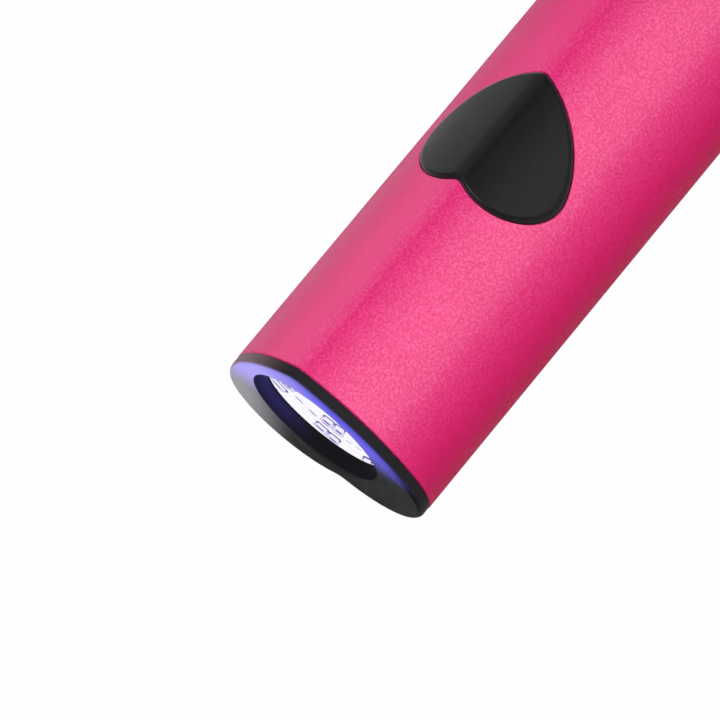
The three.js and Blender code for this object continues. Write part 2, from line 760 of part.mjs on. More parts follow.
function switchDome() {
  const foot = plungerDiscRadius;
  const radius = (foot ** 2 + domeRise ** 2) / (2 * domeRise);
  const turn = Math.asin(foot / radius);
  const centre = new THREE.Vector2(0, domeRise - radius);
  const outer = arcPoints(centre, radius, 0, quarterTurn - turn, quarterTurn);
  const inner = arcPoints(centre, radius, -domeThickness, quarterTurn - turn, quarterTurn).reverse();
  const profile = [...outer, ...inner, outer[0]].map((p) => new THREE.Vector2(Math.max(p.x, 0), p.y));
  const facetsRound = facets(foot, 2 * Math.PI);
  return solid(new THREE.LatheGeometry(profile, facetsRound).rotateX(quarterTurn));
}

// Battery: a rolled-groove can, its raised end, a shrink sleeve, welded tabs and a foam strip.

function latheAlongY(profile, radius) {
  return solid(new THREE.LatheGeometry(profile, facets(radius, 2 * Math.PI)));
}

function batteryCan() {
  const groove = cellRadius - cellGrooveDepth;
  const profile = [
    [0, 0],
    [cellRadius - cellEdge, 0],
    [cellRadius, cellEdge],
    [cellRadius, cellGrooveFromEnd - cellGrooveDepth],
    [groove, cellGrooveFromEnd],
    [cellRadius, cellGrooveFromEnd + cellGrooveDepth],
    [cellRadius, cellLength - cellEdge],
    [cellRadius - cellEdge, cellLength],
    [0, cellLength],
  ];
  return latheAlongY(profile.map(([r, y]) => new THREE.Vector2(r, y)), cellRadius);
}

function batteryCap() {
  const flangeDisc = rodAlongY(capFlangeRadius, capNubHeight, capNubHeight + capFlangeThickness);
  return flangeDisc.add(coneAlongY(capNubRadius * capTaperShare, capNubRadius, 0, capNubHeight));
}

function batterySleeve() {
  const inner = cellRadius + seatGap;
  const outer = rodAlongY(inner + sleeveThickness, 0, cellLength);
  return outer.subtract(rodAlongY(inner, -overrun, cellLength + overrun));
}

// A strip up the end of the cell, with a foot that turns under the board.
function cellTab(footSign) {
  const half = tabWidth / 2;
  const top = boardBottom - seatGap;
  const strip = block(-half, half, 0, tabThickness, cellHeight - half, top);
  const footFrom = footSign > 0 ? 0 : tabThickness - tabFoot;
  return strip.add(block(-half, half, footFrom, footFrom + tabFoot, top - tabThickness, top));
}

// Inner frame: a thin cradle that follows the tube, ribbed under the cell, with posts for the board.

function innerFrame() {
  const whole = prismAlongY(heartPoints(section, frameInset), frameFront, frameRear);
  const hollowPoints = heartPoints(section, frameInset + frameWall);
  const hollow = prismAlongY(hollowPoints, frameFront - overrun, frameRear + overrun);
  const wall = (from, thickness, top) => {
    return block(-sectionWidth, sectionWidth, from, from + thickness, -overrun, top);
  };
  const endTop = frameTop - endWallDrop;
  const walls = [
    wall(frameFront, endWallThickness, endTop),
    wall(frameRear - endWallThickness, endWallThickness, endTop),
    wall(bayFront - frameRibThickness, frameRibThickness, bigHeight),
    wall(bayRear, frameRibThickness, bigHeight),
  ];
  const ribPitch = bayLength / (frameRibCount + 1);
  for (let i = 1; i <= frameRibCount; i++) {
    walls.push(wall(bayFront + ribPitch * i - frameRibThickness / 2, frameRibThickness, bigHeight));
  }
  const posts = boardScrewPlaces().map(({ x, y }) => {
    const post = rodAlongZ(boardScrewBoss, -overrun, bigHeight, x, y);
    const edge = x + Math.sign(x) * sectionWidth;
    const half = frameWall / 2;
    return post.add(block(Math.min(x, edge), Math.max(x, edge), y - half, y + half, -overrun, bigHeight));
  });
  const rooms = hollow.subtract(union([...walls, ...posts]));
  const cell = rodAlongY(cellPackRadius + slideGap, bayFront, bayRear, 0, cellHeight);
  const channel = block(-cellPackRadius, cellPackRadius, bayFront, bayRear, cellHeight, bigHeight);
  const padHalf = padWidth / 2 + slideGap;
  const padRun = block(-padHalf, padHalf, bayFront, bayRear, -overrun, cellHeight);
  const tabHalf = tabWidth / 2 + slideGap;
  const tabFrom = bayFront - frameRibThickness - overrun;
  const tabTo = bayRear + frameRibThickness + overrun;
  const tabRun = block(-tabHalf, tabHalf, tabFrom, tabTo, frameTop - endWallDrop, bigHeight);
  const above = block(-sectionWidth, sectionWidth, 0, overallLength, frameTop, bigHeight);
  const pilots = boardScrewPlaces().map(({ x, y }) => {
    const from = boardTop + seatGap - boardScrewLength - screwEnd;
    return rodAlongZ(boardScrewRadius + screwGap, from, bigHeight, x, y);
  });
  return whole.subtract(union([rooms, cell, channel, padRun, tabRun, above, ...pilots]));
}

// Control board with screw holes, slots for the socket's legs and rows of small passives.

function boardScrewPlaces() {
  return [boardScrewFront, boardScrewRear].flatMap((y) => [-boardScrewX, boardScrewX].map((x) => ({ x, y })));
}

function socketLegPlaces() {
  const x = socketWidth / 2 - socketWall / 2;
  const rows = socketLegShares.map((share) => socketMouth - share * socketLength);
  return rows.flatMap((y) => [-x, x].map((side) => ({ x: side, y })));
}

function controlBoard() {
  const outline = roundedRectangle(-boardHalfWidth, boardHalfWidth, boardFromFront, boardRear, boardCorner);
  const plate = prismAlongZ(outline, boardBottom, boardTop);
  const passives = [];
  for (let i = 0; i < passiveCount; i++) {
    for (const side of [-1, 1]) {
      const x = side * passiveRowFromMiddle;
      const y = keyPostY + switchWidth + i * passivePitch;
      passives.push(block(
        x - passiveLength / 2, x + passiveLength / 2, y - passiveWidth / 2, y + passiveWidth / 2,
        boardBottom, boardTop + passiveHeight,
      ));
    }
  }
  const holes = boardScrewPlaces().map(({ x, y }) => {
    return rodAlongZ(boardScrewRadius + screwGap, boardBottom - overrun, boardTop + overrun, x, y);
  });
  const slots = socketLegPlaces().map(({ x, y }) => {
    const halfX = socketWall / 2 + slideGap;
    const halfY = socketLegWidth / 2 + slideGap;
    return block(x - halfX, x + halfX, y - halfY, y + halfY, boardBottom - overrun, boardTop + overrun);
  });
  return union([plate, ...passives]).subtract(union([...holes, ...slots]));
}

// Charging socket: a folded shell, open at the tail, and the tongue that carries its contacts.

function socketShell() {
  const at = (points) => moved(points, 0, socketMiddle);
  const outside = prismAlongY(at(stadium(socketWidth, socketHeight)), socketBack, socketMouth);
  const bore = at(stadium(socketWidth - 2 * socketWall, socketHeight - 2 * socketWall));
  const hollow = prismAlongY(bore, socketBack - overrun, socketMouth + overrun);
  const legFoot = boardTop - socketLegDrop;
  const legs = socketLegPlaces().map(({ x, y }) => {
    const thick = socketWall / 2;
    const wide = socketLegWidth / 2;
    return block(x - thick, x + thick, y - wide, y + wide, legFoot, socketMiddle);
  });
  return outside.add(union(legs)).subtract(hollow);
}

function socketTongue() {
  const baseWidth = socketWidth - 2 * socketWall - 2 * seatGap;
  const baseHeight = socketHeight - 2 * socketWall - 2 * seatGap;
  const outline = moved(stadium(baseWidth, baseHeight), 0, socketMiddle);
  const base = prismAlongY(outline, socketBack, socketBack + tongueBase);
  const wide = tongueWidth / 2;
  const thick = tongueThickness / 2;
  const tip = socketMouth - tongueShort;
  const tongue = block(-wide, wide, socketBack, tip, socketMiddle - thick, socketMiddle + thick);
  return base.add(tongue);
}

function rearCap() {
  const seam = flangeInner;
  const skirtEnd = seam - skirtLength;
  const room = plugRoom(skirtEnd - overrun, seam);
  const whole = flange(overallLength, seam).add(plug(skirtEnd, seam + seatGap)).subtract(room);
  const portWidth = socketWidth + 2 * slideGap;
  const portHeight = socketHeight + 2 * slideGap;
  const at = (points) => moved(points, 0, socketMiddle);
  const port = prismAlongY(at(stadium(portWidth, portHeight)), seam - overrun, overallLength + overrun);
  const mouth = at(stadium(portWidth + 2 * portChamfer, portHeight + 2 * portChamfer));
  const mouthCut = prismAlongY(mouth, overallLength - portChamfer, overallLength + overrun);
  const pipeBore = pipeRadius + slideGap;
  const pipe = rodAlongY(pipeBore, seam - overrun, overallLength + overrun, pipeFromMiddle, pipeHeight);
  return whole.subtract(union([port, mouthCut, pipe]));
}

function lightPipe() {
  const collar = rodAlongY(pipeFlangeRadius, 0, pipeFlangeThickness);
  return collar.add(rodAlongY(pipeRadius, 0, overallLength - pipeInner - seatGap));
}

function chip(size) {
  return block(-size.across / 2, size.across / 2, -size.along / 2, size.along / 2, 0, size.up);
}

// A wire from the light-emitting board, back through the notch and down onto the control board.
function lead(side) {
  const x = side * leadSpread;
  const high = lensCentre + lensRadius - leadNotchHeight / 2;
  const low = boardTop + seatGap + leadRadius;
  const start = heatSinkFront;
  const end = boardFromFront + leadOnBoard;
  const path = new THREE.CatmullRomCurve3([
    new THREE.Vector3(x, start, high),
    new THREE.Vector3(x, start + heatSinkThickness, high),
    new THREE.Vector3(x, (start + end) / 2 + leadRadius, (high + low) / 2),
    new THREE.Vector3(x, end - leadOnBoard / 2, low),
    new THREE.Vector3(x, end, low),
  ]);
  const round = [];
  for (let i = 0; i < leadSides; i++) {
    const angle = (2 * Math.PI * i) / leadSides;
    round.push(new THREE.Vector2(leadRadius * Math.cos(angle), leadRadius * Math.sin(angle)));
  }
  return new THREE.ExtrudeGeometry(new THREE.Shape(round), { steps: leadSteps, extrudePath: path });
}

// Assembly

add("body_tube", bodyTube(), pinkMetal);
add("front_bezel", frontBezel(), blackGloss);
add("rear_cap", rearCap(), blackGloss);
add("button_cap", keyCap(), keyBlack);

add("lens_window", lensWindow(), clearPlastic, 0, lensFront, lensCentre);
add("lens_gasket", lensGasket(), silicone, 0, gasketFront, lensCentre);
add("reflector", reflector(), whitePlastic, 0, reflectorFront, lensCentre);
add("led_board", ledBoard(), whitePlastic, 0, ledBoardFront, lensCentre);
add("heat_sink", heatSink(), bareMetal, 0, heatSinkFront, lensCentre);
beadPlaces().forEach(({ x, z }, i) => {
  add(`led_bead_${i + 1}`, ledBead(), emitter, x, ledBoardFront - seatGap - beadThickness, lensCentre + z);
});
const headScrew = screw(headScrewRadius, headScrewLength, headScrewHeadRadius, headScrewHeadHeight);
add("head_screw_left", headScrew, steel, -earX, headScrewSeat, earZ);
add("head_screw_right", headScrew, steel, earX, headScrewSeat, earZ);

add("inner_frame", innerFrame(), greyPlastic);
add("battery_can", batteryCan(), steel, 0, cellFront, cellHeight);
const capFront = cellFront - seatGap - capFlangeThickness - capNubHeight;
add("battery_cap", batteryCap(), bareMetal, 0, capFront, cellHeight);
add("battery_sleeve", batterySleeve(), sleeveBlue, 0, cellFront, cellHeight);
add("positive_tab", cellTab(-1), bareMetal, 0, bayFront + seatGap, 0);
add("negative_tab", cellTab(1), bareMetal, 0, bayRear - seatGap - tabThickness, 0);
const padBottom = lowerEdge(section, tubeWall, 0) + seatGap;
const padMiddle = (cellFront + cellRear) / 2;
const padShape = block(-padWidth / 2, padWidth / 2, -padLength / 2, padLength / 2, 0, padThickness);
add("battery_pad", padShape, foam, 0, padMiddle, padBottom);
const sheetShape = block(-sheetWidth / 2, sheetWidth / 2, cellFront, cellRear, 0, sheetThickness);
add("insulating_sheet", sheetShape, paper, 0, 0, sheetBottom);

add("control_board", controlBoard(), boardGreen);
const boardScrew = screw(boardScrewRadius, boardScrewLength, boardScrewHeadRadius, boardScrewHeadHeight);
boardScrewPlaces().forEach(({ x, y }, i) => {
  add(`board_screw_${i + 1}`, boardScrew.rotate([90, 0, 0]), steel, x, y, boardTop + seatGap);
});
add("tact_switch_base", switchBase(), chipBlack, 0, keyPostY, switchBottom);
add("tact_switch_dome", switchDome(), bareMetal, 0, keyPostY, switchBottom + switchFloor + seatGap);
add("tact_switch_plunger", switchPlunger(), whitePlastic, 0, keyPostY, switchBottom);
add("usb_socket_shell", socketShell(), bareMetal);
add("usb_socket_tongue", socketTongue(), chipBlack);
const chips = { charge_chip: chargeChip, timer_chip: timerChip, driver_mosfet: driverMosfet };
Object.entries(chips).forEach(([name, size]) => {
  add(name, chip(size), chipBlack, size.x, overallLength - size.fromTail, boardTop + chipGap);
});
add(
  "power_inductor", chip(powerInductor), inductorGrey,
  powerInductor.x, overallLength - powerInductor.fromTail, boardTop + chipGap,
);
const indicatorY = pipeInner - seatGap - indicatorLength / 2;
const indicatorShape = chip({ across: indicatorWidth, along: indicatorLength, up: indicatorHeight });
add("indicator_led", indicatorShape, whitePlastic, pipeFromMiddle, indicatorY, boardTop + chipGap);
add("light_pipe", lightPipe(), clearPlastic, pipeFromMiddle, pipeInner, pipeHeight);
add("led_lead_red", lead(-1), redWire);
add("led_lead_black", lead(1), blackWire);

export default lamp;
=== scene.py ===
import bpy
import json
import math
from mathutils import Matrix, Vector


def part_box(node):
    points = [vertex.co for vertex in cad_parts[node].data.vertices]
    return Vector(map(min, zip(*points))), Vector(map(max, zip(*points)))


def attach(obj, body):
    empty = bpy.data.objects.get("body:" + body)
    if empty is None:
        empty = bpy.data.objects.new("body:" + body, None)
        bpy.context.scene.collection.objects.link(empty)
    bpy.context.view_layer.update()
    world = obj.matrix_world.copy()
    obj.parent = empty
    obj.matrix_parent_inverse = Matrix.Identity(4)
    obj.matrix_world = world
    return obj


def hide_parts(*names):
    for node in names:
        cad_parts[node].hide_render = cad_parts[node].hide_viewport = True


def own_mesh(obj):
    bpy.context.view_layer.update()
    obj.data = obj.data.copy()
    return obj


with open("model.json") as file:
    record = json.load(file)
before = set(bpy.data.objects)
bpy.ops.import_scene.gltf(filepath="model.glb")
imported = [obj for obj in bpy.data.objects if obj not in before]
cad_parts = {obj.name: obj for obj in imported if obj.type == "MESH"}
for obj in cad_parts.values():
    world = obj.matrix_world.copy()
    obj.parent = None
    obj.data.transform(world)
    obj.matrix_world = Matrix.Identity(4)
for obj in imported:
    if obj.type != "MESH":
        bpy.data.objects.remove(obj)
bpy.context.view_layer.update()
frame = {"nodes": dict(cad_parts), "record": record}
nodes = frame["nodes"]
mm = 0.001
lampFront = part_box("front_bezel")[0][1]
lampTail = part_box("rear_cap")[1][1]
print("frame loaded,", len(nodes), "nodes")

# Small helpers

drawing = {
    "sag": 0.0012 * mm,  # the most that a facet may stray from its arc
    "sides": 192,
    "seed": 0.1 * mm,  # side of the plane that is merged into an outline's first vertex
    "near": 0.001 * mm,
    "merge": 0.0004 * mm,
    "column": 0.02 * mm,  # least distance between two cuts across the key
    "spread": 20 * mm,  # distance between loops while they are bridged
    "below": -1.0,  # level of a foot ring until its own height is set
    "smooth": 30,  # degrees up to which an edge is shaded smooth
}


def deselectAll():
    if bpy.context.object and bpy.context.object.mode != "OBJECT":
        bpy.ops.object.mode_set(mode="OBJECT")
    bpy.ops.object.select_all(action="DESELECT")


def pick(*objects):
    deselectAll()
    for obj in objects:
        obj.select_set(True)
    bpy.context.view_layer.objects.active = objects[0]


def editAll():
    bpy.ops.object.mode_set(mode="EDIT")
    bpy.ops.mesh.select_mode(type="VERT")
    bpy.ops.mesh.select_all(action="SELECT")


def selectVertices(obj, test):
    bpy.ops.object.mode_set(mode="EDIT")
    bpy.ops.mesh.select_all(action="DESELECT")
    bpy.ops.mesh.select_mode(type="VERT")
    bpy.ops.object.mode_set(mode="OBJECT")
    for vertex in obj.data.vertices:
        vertex.select = test(vertex)
    bpy.ops.object.mode_set(mode="EDIT")


def faceOut(obj):
    pick(obj)
    editAll()
    bpy.ops.mesh.normals_make_consistent(inside=False)
    bpy.ops.object.mode_set(mode="OBJECT")


def applyModifier(obj, kind, **settings):
    pick(obj)
    bpy.ops.object.modifier_add(type=kind)
    modifier = obj.modifiers[-1]
    for label, value in settings.items():
        setattr(modifier, label, value)
    bpy.ops.object.modifier_apply(modifier=modifier.name)


def combine(obj, operation, tool):
    # operation is DIFFERENCE, UNION or INTERSECT, and the tool is used up
    applyModifier(obj, "BOOLEAN", operation=operation, object=tool, solver="EXACT")
    bpy.data.objects.remove(tool)


def finishPiece(obj, name, body, angle):
    pick(obj)
    obj.name = name
    obj.data.name = name
    editAll()
    bpy.ops.mesh.remove_doubles(threshold=drawing["merge"])
    bpy.ops.mesh.normals_make_consistent(inside=False)
    bpy.ops.object.mode_set(mode="OBJECT")
    bpy.ops.object.transform_apply(location=True, rotation=True, scale=True)
    bpy.ops.object.shade_smooth_by_angle(angle=math.radians(angle))
    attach(obj, body)


# Hearts of tangent circles, drawn by spinning one vertex round each circle's centre

section = {
    "width": 30 * mm,
    "height": 27.7 * mm,
    "tip": 2.6 * mm,
    "flank": 23.6 * mm,
    "lobe": 10.4 * mm,
    "notch": 2.4 * mm,
}
keyPlan = {
    "width": 19.5 * mm,
    "height": 17.6 * mm,
    "tip": 0.9 * mm,
    "flank": 13.9 * mm,
    "lobe": 6.2 * mm,
    "notch": 1.7 * mm,
}


def bearing(start, end):
    return math.atan2(end[1] - start[1], end[0] - start[0])


def heartArcs(heart):
    # half of the outline, from the tip to the notch: centre, radius, first and last angle
    tip = Vector((0, heart["height"] - heart["tip"]))
    lobe = Vector((heart["width"] / 2 - heart["lobe"], heart["lobe"]))
    chord = lobe - tip
    toTip = heart["flank"] - heart["tip"]
    toLobe = heart["flank"] - heart["lobe"]
    along = (toTip**2 - toLobe**2 + chord.length_squared) / (2 * chord.length)
    across = math.sqrt(toTip**2 - along**2)
    unit = chord.normalized()
    flank = tip + unit * along + Vector((unit.y, -unit.x)) * across
    drop = math.sqrt((heart["lobe"] + heart["notch"]) ** 2 - lobe.x**2)
    notch = Vector((0, lobe.y - drop))
    tipEnd = bearing(flank, tip)
    flankEnd = bearing(flank, lobe)
    lobeEnd = bearing(lobe, notch)
    return [
        (tip, heart["tip"], math.pi / 2, tipEnd),
        (flank, heart["flank"], tipEnd, flankEnd),
        (lobe, heart["lobe"], flankEnd, lobeEnd),
        (notch, heart["notch"], bearing(notch, lobe), math.pi / 2),
    ]


def arcSteps(radius, turn):
    return max(2, math.ceil(abs(turn) / (2 * math.acos(1 - drawing["sag"] / radius))))


def drawHeart(heart, inset, level, plane):
    # plane "XZ" draws the section at y = level, and "XY" draws the plan at z = level
    def place(point):
        return (point[0], level, point[1]) if plane == "XZ" else (point[0], point[1], level)

    arcs = heartArcs(heart)
    start = arcs[0][0] + Vector((0, heart["tip"] - inset))
    if inset > heart["tip"]:
        # deeper than the tip's radius, the two flanks meet in a corner
        flank, radius, _, last = arcs[1]
        meet = math.acos(-flank.x / (radius - inset))
        start = Vector((0, flank.y + (radius - inset) * math.sin(meet)))
        arcs = [(flank, radius, meet, last)] + arcs[2:]
    deselectAll()
    bpy.ops.mesh.primitive_plane_add(size=drawing["seed"], location=place(start))
    obj = bpy.context.object
    bpy.ops.object.transform_apply(location=True)
    editAll()
    bpy.ops.mesh.merge(type="CENTER")
    axis = (0, 1, 0) if plane == "XZ" else (0, 0, -1)  # spin turns against its angle here
    for centre, radius, first, last in arcs:
        steps = arcSteps(radius, last - first)
        bpy.ops.mesh.spin(steps=steps, angle=last - first, center=place(centre), axis=axis)
    bpy.ops.object.mode_set(mode="OBJECT")
    for vertex in obj.data.vertices:
        if abs(vertex.co.x) < drawing["near"]:
            vertex.co.x = 0
    applyModifier(obj, "MIRROR", use_axis=(True, False, False), merge_threshold=drawing["near"])
    return obj


def drawCircle(radius, level, centre):
    deselectAll()
    bpy.ops.mesh.primitive_circle_add(
        vertices=drawing["sides"],
        radius=radius,
        location=(centre[0], level, centre[1]),
        rotation=(math.pi / 2, 0, 0),
    )
    bpy.ops.object.transform_apply(location=True, rotation=True)
    return bpy.context.object


def stackLoops(loops, axis, closed=False):
    # joins flat closed wires and bridges each to the next one, well apart along the axis, and then
    # gives them their own levels again; axis is 1 for y and 2 for z
    counts = [len(loop.data.vertices) for loop in loops]
    starts = [sum(counts[:i]) for i in range(len(counts))]
    levels = [loop.data.vertices[0].co[axis] for loop in loops]
    for i, loop in enumerate(loops):
        for vertex in loop.data.vertices:
            vertex.co[axis] = i * drawing["spread"]
    pick(*loops)
    bpy.ops.object.join()
    obj = bpy.context.object
    pairs = [(i, i + 1) for i in range(len(counts) - 1)]
    if closed:
        pairs.append((len(counts) - 1, 0))
    for pair in pairs:
        wanted = set()
        for i in pair:
            wanted.update(range(starts[i], starts[i] + counts[i]))
        selectVertices(obj, lambda vertex: vertex.index in wanted)
        bpy.ops.mesh.bridge_edge_loops()
    if not closed:
        for i in (0, len(counts) - 1):
            wanted = set(range(starts[i], starts[i] + counts[i]))
            selectVertices(obj, lambda vertex: vertex.index in wanted)
            bpy.ops.mesh.edge_face_add()
    bpy.ops.object.mode_set(mode="OBJECT")
    for i, level in enumerate(levels):
        for vertex in obj.data.vertices[starts[i] : starts[i] + counts[i]]:
            vertex.co[axis] = level
    faceOut(obj)
    return obj


def upperSection(x, inset):
    # height of the section's upper edge over x, drawn in by inset
    x = abs(x)
    for centre, radius, _, last in heartArcs(section)[:3]:
        reach = radius - inset
        if x < centre.x + reach * math.cos(last):
            break
    return centre.y + math.sqrt(max(0, reach**2 - (x - centre.x) ** 2))


def sectionColumns(inset, reach):
    # x of each corner of the section's upper edge, out to reach, both ways
    columns = [0.0]
    for centre, radius, first, last in heartArcs(section)[:3]:
        steps = arcSteps(radius, last - first)
        for i in range(steps + 1):
            x = centre.x + (radius - inset) * math.cos(first + (last - first) * i / steps)
            if x > columns[-1] + drawing["column"] and x < reach:
                columns.append(x)
    return sorted([-x for x in columns[1:]] + columns)


def heartOverRidge(rings, footHeight, inset):
    # a plan heart whose rings follow the section's upper edge: (inset of the plan, rise over that edge)
    loops = [drawHeart(keyPlan, rings[0][0], drawing["below"], "XY")]
    loops += [drawHeart(keyPlan, ringInset, rise, "XY") for ringInset, rise in rings]
    obj = stackLoops(loops, 2)
    for x in sectionColumns(inset, keyPlan["width"] / 2 + keyWindow["reach"]):
        editAll()
        bpy.ops.mesh.bisect(plane_co=(x, 0, 0), plane_no=(1, 0, 0))
    bpy.ops.object.mode_set(mode="OBJECT")
    for vertex in obj.data.vertices:
        if vertex.co.z < drawing["below"] / 2:
            vertex.co.z = footHeight
        else:
            vertex.co.z += upperSection(vertex.co.x, inset)
        vertex.co.y += lampFront + keyWindow["fromFront"]
    faceOut(obj)
    return obj


def heartBar(inset, start, end):
    return stackLoops([drawHeart(section, inset, level, "XZ") for level in (start, end)], 1)


def planBar(grow, low, high):
    obj = stackLoops([drawHeart(keyPlan, -grow, level, "XY") for level in (low, high)], 2)
    for vertex in obj.data.vertices:
        vertex.co.y += lampFront + keyWindow["fromFront"]
    return obj


def turnedBar(steps, centre):
    # round bar along y: (radius, level) of each step
    return stackLoops([drawCircle(radius, level, centre) for radius, level in steps], 1)


def box(low, high):
    deselectAll()
    middle = [(a + b) / 2 for a, b in zip(low, high)]
    bpy.ops.mesh.primitive_cube_add(size=1, location=middle, scale=[b - a for a, b in zip(low, high)])
    bpy.ops.object.transform_apply(location=True, scale=True)
    return bpy.context.object


# Camera, at the photograph's angle

camera = {
    "place": (303.644 * mm, -198.309 * mm, 621.548 * mm),
    "right": (0.75359, 0.62154, -0.21396),
    "up": (-0.49113, 0.74873, 0.44519),
    "lens": 292.73,
    "sensor": 36.0,
    "clip": (10 * mm, 20.0),
}


def addCamera():
    bpy.ops.object.camera_add(location=camera["place"])
    obj = bpy.context.object
    right = Vector(camera["right"]).normalized()
    up = Vector(camera["up"])
    back = right.cross(up).normalized()
    up = back.cross(right)
    turn = Matrix((right, up, back)).transposed().to_4x4()
    obj.matrix_world = Matrix.Translation(camera["place"]) @ turn
    obj.data.lens = camera["lens"]
    obj.data.sensor_width = camera["sensor"]
    obj.data.clip_start, obj.data.clip_end = camera["clip"]
    bpy.context.scene.camera = obj


deselectAll()
addCamera()
print("camera placed")

# Node groups and materials


def feed(tree, socket, value):
    # value is another node's output, a number or a color
    if isinstance(value, bpy.types.NodeSocket):
        tree.links.new(value, socket)
    else:
        socket.default_value = (*value, 1.0) if isinstance(value, tuple) else value


def newGroup(name, inputs, outputs):
    group = bpy.data.node_groups.new(name, "ShaderNodeTree")
    for way, sockets in (("INPUT", inputs), ("OUTPUT", outputs)):
        for label, kind in sockets.items():
            group.interface.new_socket(name=label, in_out=way, socket_type="NodeSocket" + kind)
    return group, group.nodes.new("NodeGroupInput"), group.nodes.new("NodeGroupOutput")


def calc(tree, operation, *values, clamp=False):
    node = tree.nodes.new("ShaderNodeMath")
    node.operation = operation
    node.use_clamp = clamp
    for socket, value in zip(node.inputs, values):
        feed(tree, socket, value)
    return node.outputs[0]


def chain(tree, operation, first, *others):
    value = first
    for other in others:
        value = calc(tree, operation, value, other)
    return value


def ramp(tree, value, low, high, toLow=0.0, toHigh=1.0, smooth=True):
    node = tree.nodes.new("ShaderNodeMapRange")
    node.interpolation_type = "SMOOTHSTEP" if smooth else "LINEAR"
    tree.links.new(value, node.inputs["Value"])
    for label, number in (("From Min", low), ("From Max", high), ("To Min", toLow), ("To Max", toHigh)):
        node.inputs[label].default_value = number
    return node.outputs["Result"]


def mixColor(tree, factor, a, b):
    node = tree.nodes.new("ShaderNodeMix")
    node.data_type = "RGBA"
    for label, value in (("Factor", factor), ("A", a), ("B", b)):
        feed(tree, next(s for s in node.inputs if s.name == label and s.enabled), value)
    return next(s for s in node.outputs if s.enabled)


def noise(tree, vector, scale, detail):
    node = tree.nodes.new("ShaderNodeTexNoise")
    for label, value in (("Vector", vector), ("Scale", scale), ("Detail", detail)):
        feed(tree, node.inputs[label], value)
    return node.outputs["Fac"]


def splitAxes(tree, vector):
    node = tree.nodes.new("ShaderNodeSeparateXYZ")
    tree.links.new(vector, node.inputs[0])
    return node.outputs


grainLook = {
    "speckDetail": 1.2,
    "cloudScale": 180.0,
    "cloudDetail": 2.0,
    "contrast": (0.3, 0.7),  # noise between these is spread out from 0 to 1
}
mottleLook = {
    "detail": 4.0,
    "contrast": (0.35, 0.65),
    "darker": 0.86,  # share of the color that is left in the dark places
}


def grainGroup():
    # blasted grain: fine specks over a slower cloud
    tree, start, end = newGroup(
        "blastedGrain",
        {"Vector": "Vector", "Speck Size": "Float"},
        {"Specks": "Float", "Cloud": "Float"},
    )
    vector = start.outputs["Vector"]
    scale = calc(tree, "DIVIDE", 1.0, start.outputs["Speck Size"])
    speck = noise(tree, vector, scale, grainLook["speckDetail"])
    cloud = noise(tree, vector, grainLook["cloudScale"], grainLook["cloudDetail"])
    tree.links.new(ramp(tree, speck, *grainLook["contrast"], smooth=False), end.inputs["Specks"])
    tree.links.new(ramp(tree, cloud, *grainLook["contrast"]), end.inputs["Cloud"])
    return tree


def mottleGroup():
    # slow change of gloss on moulded and rolled surfaces
    tree, start, end = newGroup(
        "surfaceMottle",
        {"Vector": "Vector", "Scale": "Float", "Low": "Float", "High": "Float"},
        {"Roughness": "Float", "Mask": "Float"},
    )
    cloud = noise(tree, start.outputs["Vector"], start.outputs["Scale"], mottleLook["detail"])
    mask = ramp(tree, cloud, *mottleLook["contrast"])
    spread = calc(tree, "SUBTRACT", start.outputs["High"], start.outputs["Low"])
    value = calc(tree, "MULTIPLY_ADD", mask, spread, start.outputs["Low"])
    tree.links.new(value, end.inputs["Roughness"])
    tree.links.new(mask, end.inputs["Mask"])
    return tree


def newMaterial(name, **settings):
    material = bpy.data.materials.new(name)
    material.use_nodes = True
    tree = material.node_tree
    shader = tree.nodes["Principled BSDF"]
    for label, value in settings.items():
        feed(tree, shader.inputs[label.replace("_", " ")], value)
    coordinates = tree.nodes.new("ShaderNodeTexCoord")
    return material, tree, shader, coordinates.outputs["Object"]


def useGroup(tree, group, vector, **values):
    node = tree.nodes.new("ShaderNodeGroup")
    node.node_tree = group
    tree.links.new(vector, node.inputs["Vector"])
    for label, value in values.items():
        feed(tree, node.inputs[label.replace("_", " ")], value)
    return node


def addBump(tree, shader, height, distance):
    bump = tree.nodes.new("ShaderNodeBump")
    bump.inputs["Distance"].default_value = distance
    tree.links.new(height, bump.inputs["Height"])
    tree.links.new(bump.outputs["Normal"], shader.inputs["Normal"])


blastedGrain = grainGroup()
surfaceMottle = mottleGroup()

pinkMetal = {
    "dark": (0.89, 0.012, 0.182),
    "light": (1.0, 0.034, 0.280),
    "lobeShade": (0.70, 0.007, 0.108),  # painted shade low on the lobes
    "shadeBelow": 7 * mm,
    "shadeAbove": 21 * mm,
    "metallic": 0.38,
    "roughness": 0.50,
    "roughnessSpread": 0.06,
    "specular": 0.15,
    "coatLow": 0.56,
    "coatHigh": 1.0,
    "coatSpecks": (0.35, 0.9),  # specks between these have from the thinnest coat to the full one
    "coatRoughness": 0.32,
    "coatIor": 1.76,
    "sheenLow": 13.5 * mm,  # the coat's weight falls off down the lobes: painted shade on its reflections
    "sheenHigh": 22 * mm,
    "leftSheen": (0.80, 0.12),  # and on the left flank, from front to tail: a painted fall-off of its reflection
    "leftAlong": (-20 * mm, 40 * mm),
    "leftAcross": (-2 * mm, 2 * mm),
    "speckSize": 0.30 * mm,
    "bumpHeight": 0.044 * mm,
    "evenLitGrain": 0.2,  # grain and its glints toned down left of the ridge, where the light falls evenly: painted lighting
    "evenLitAcross": (-3 * mm, 1 * mm),
}


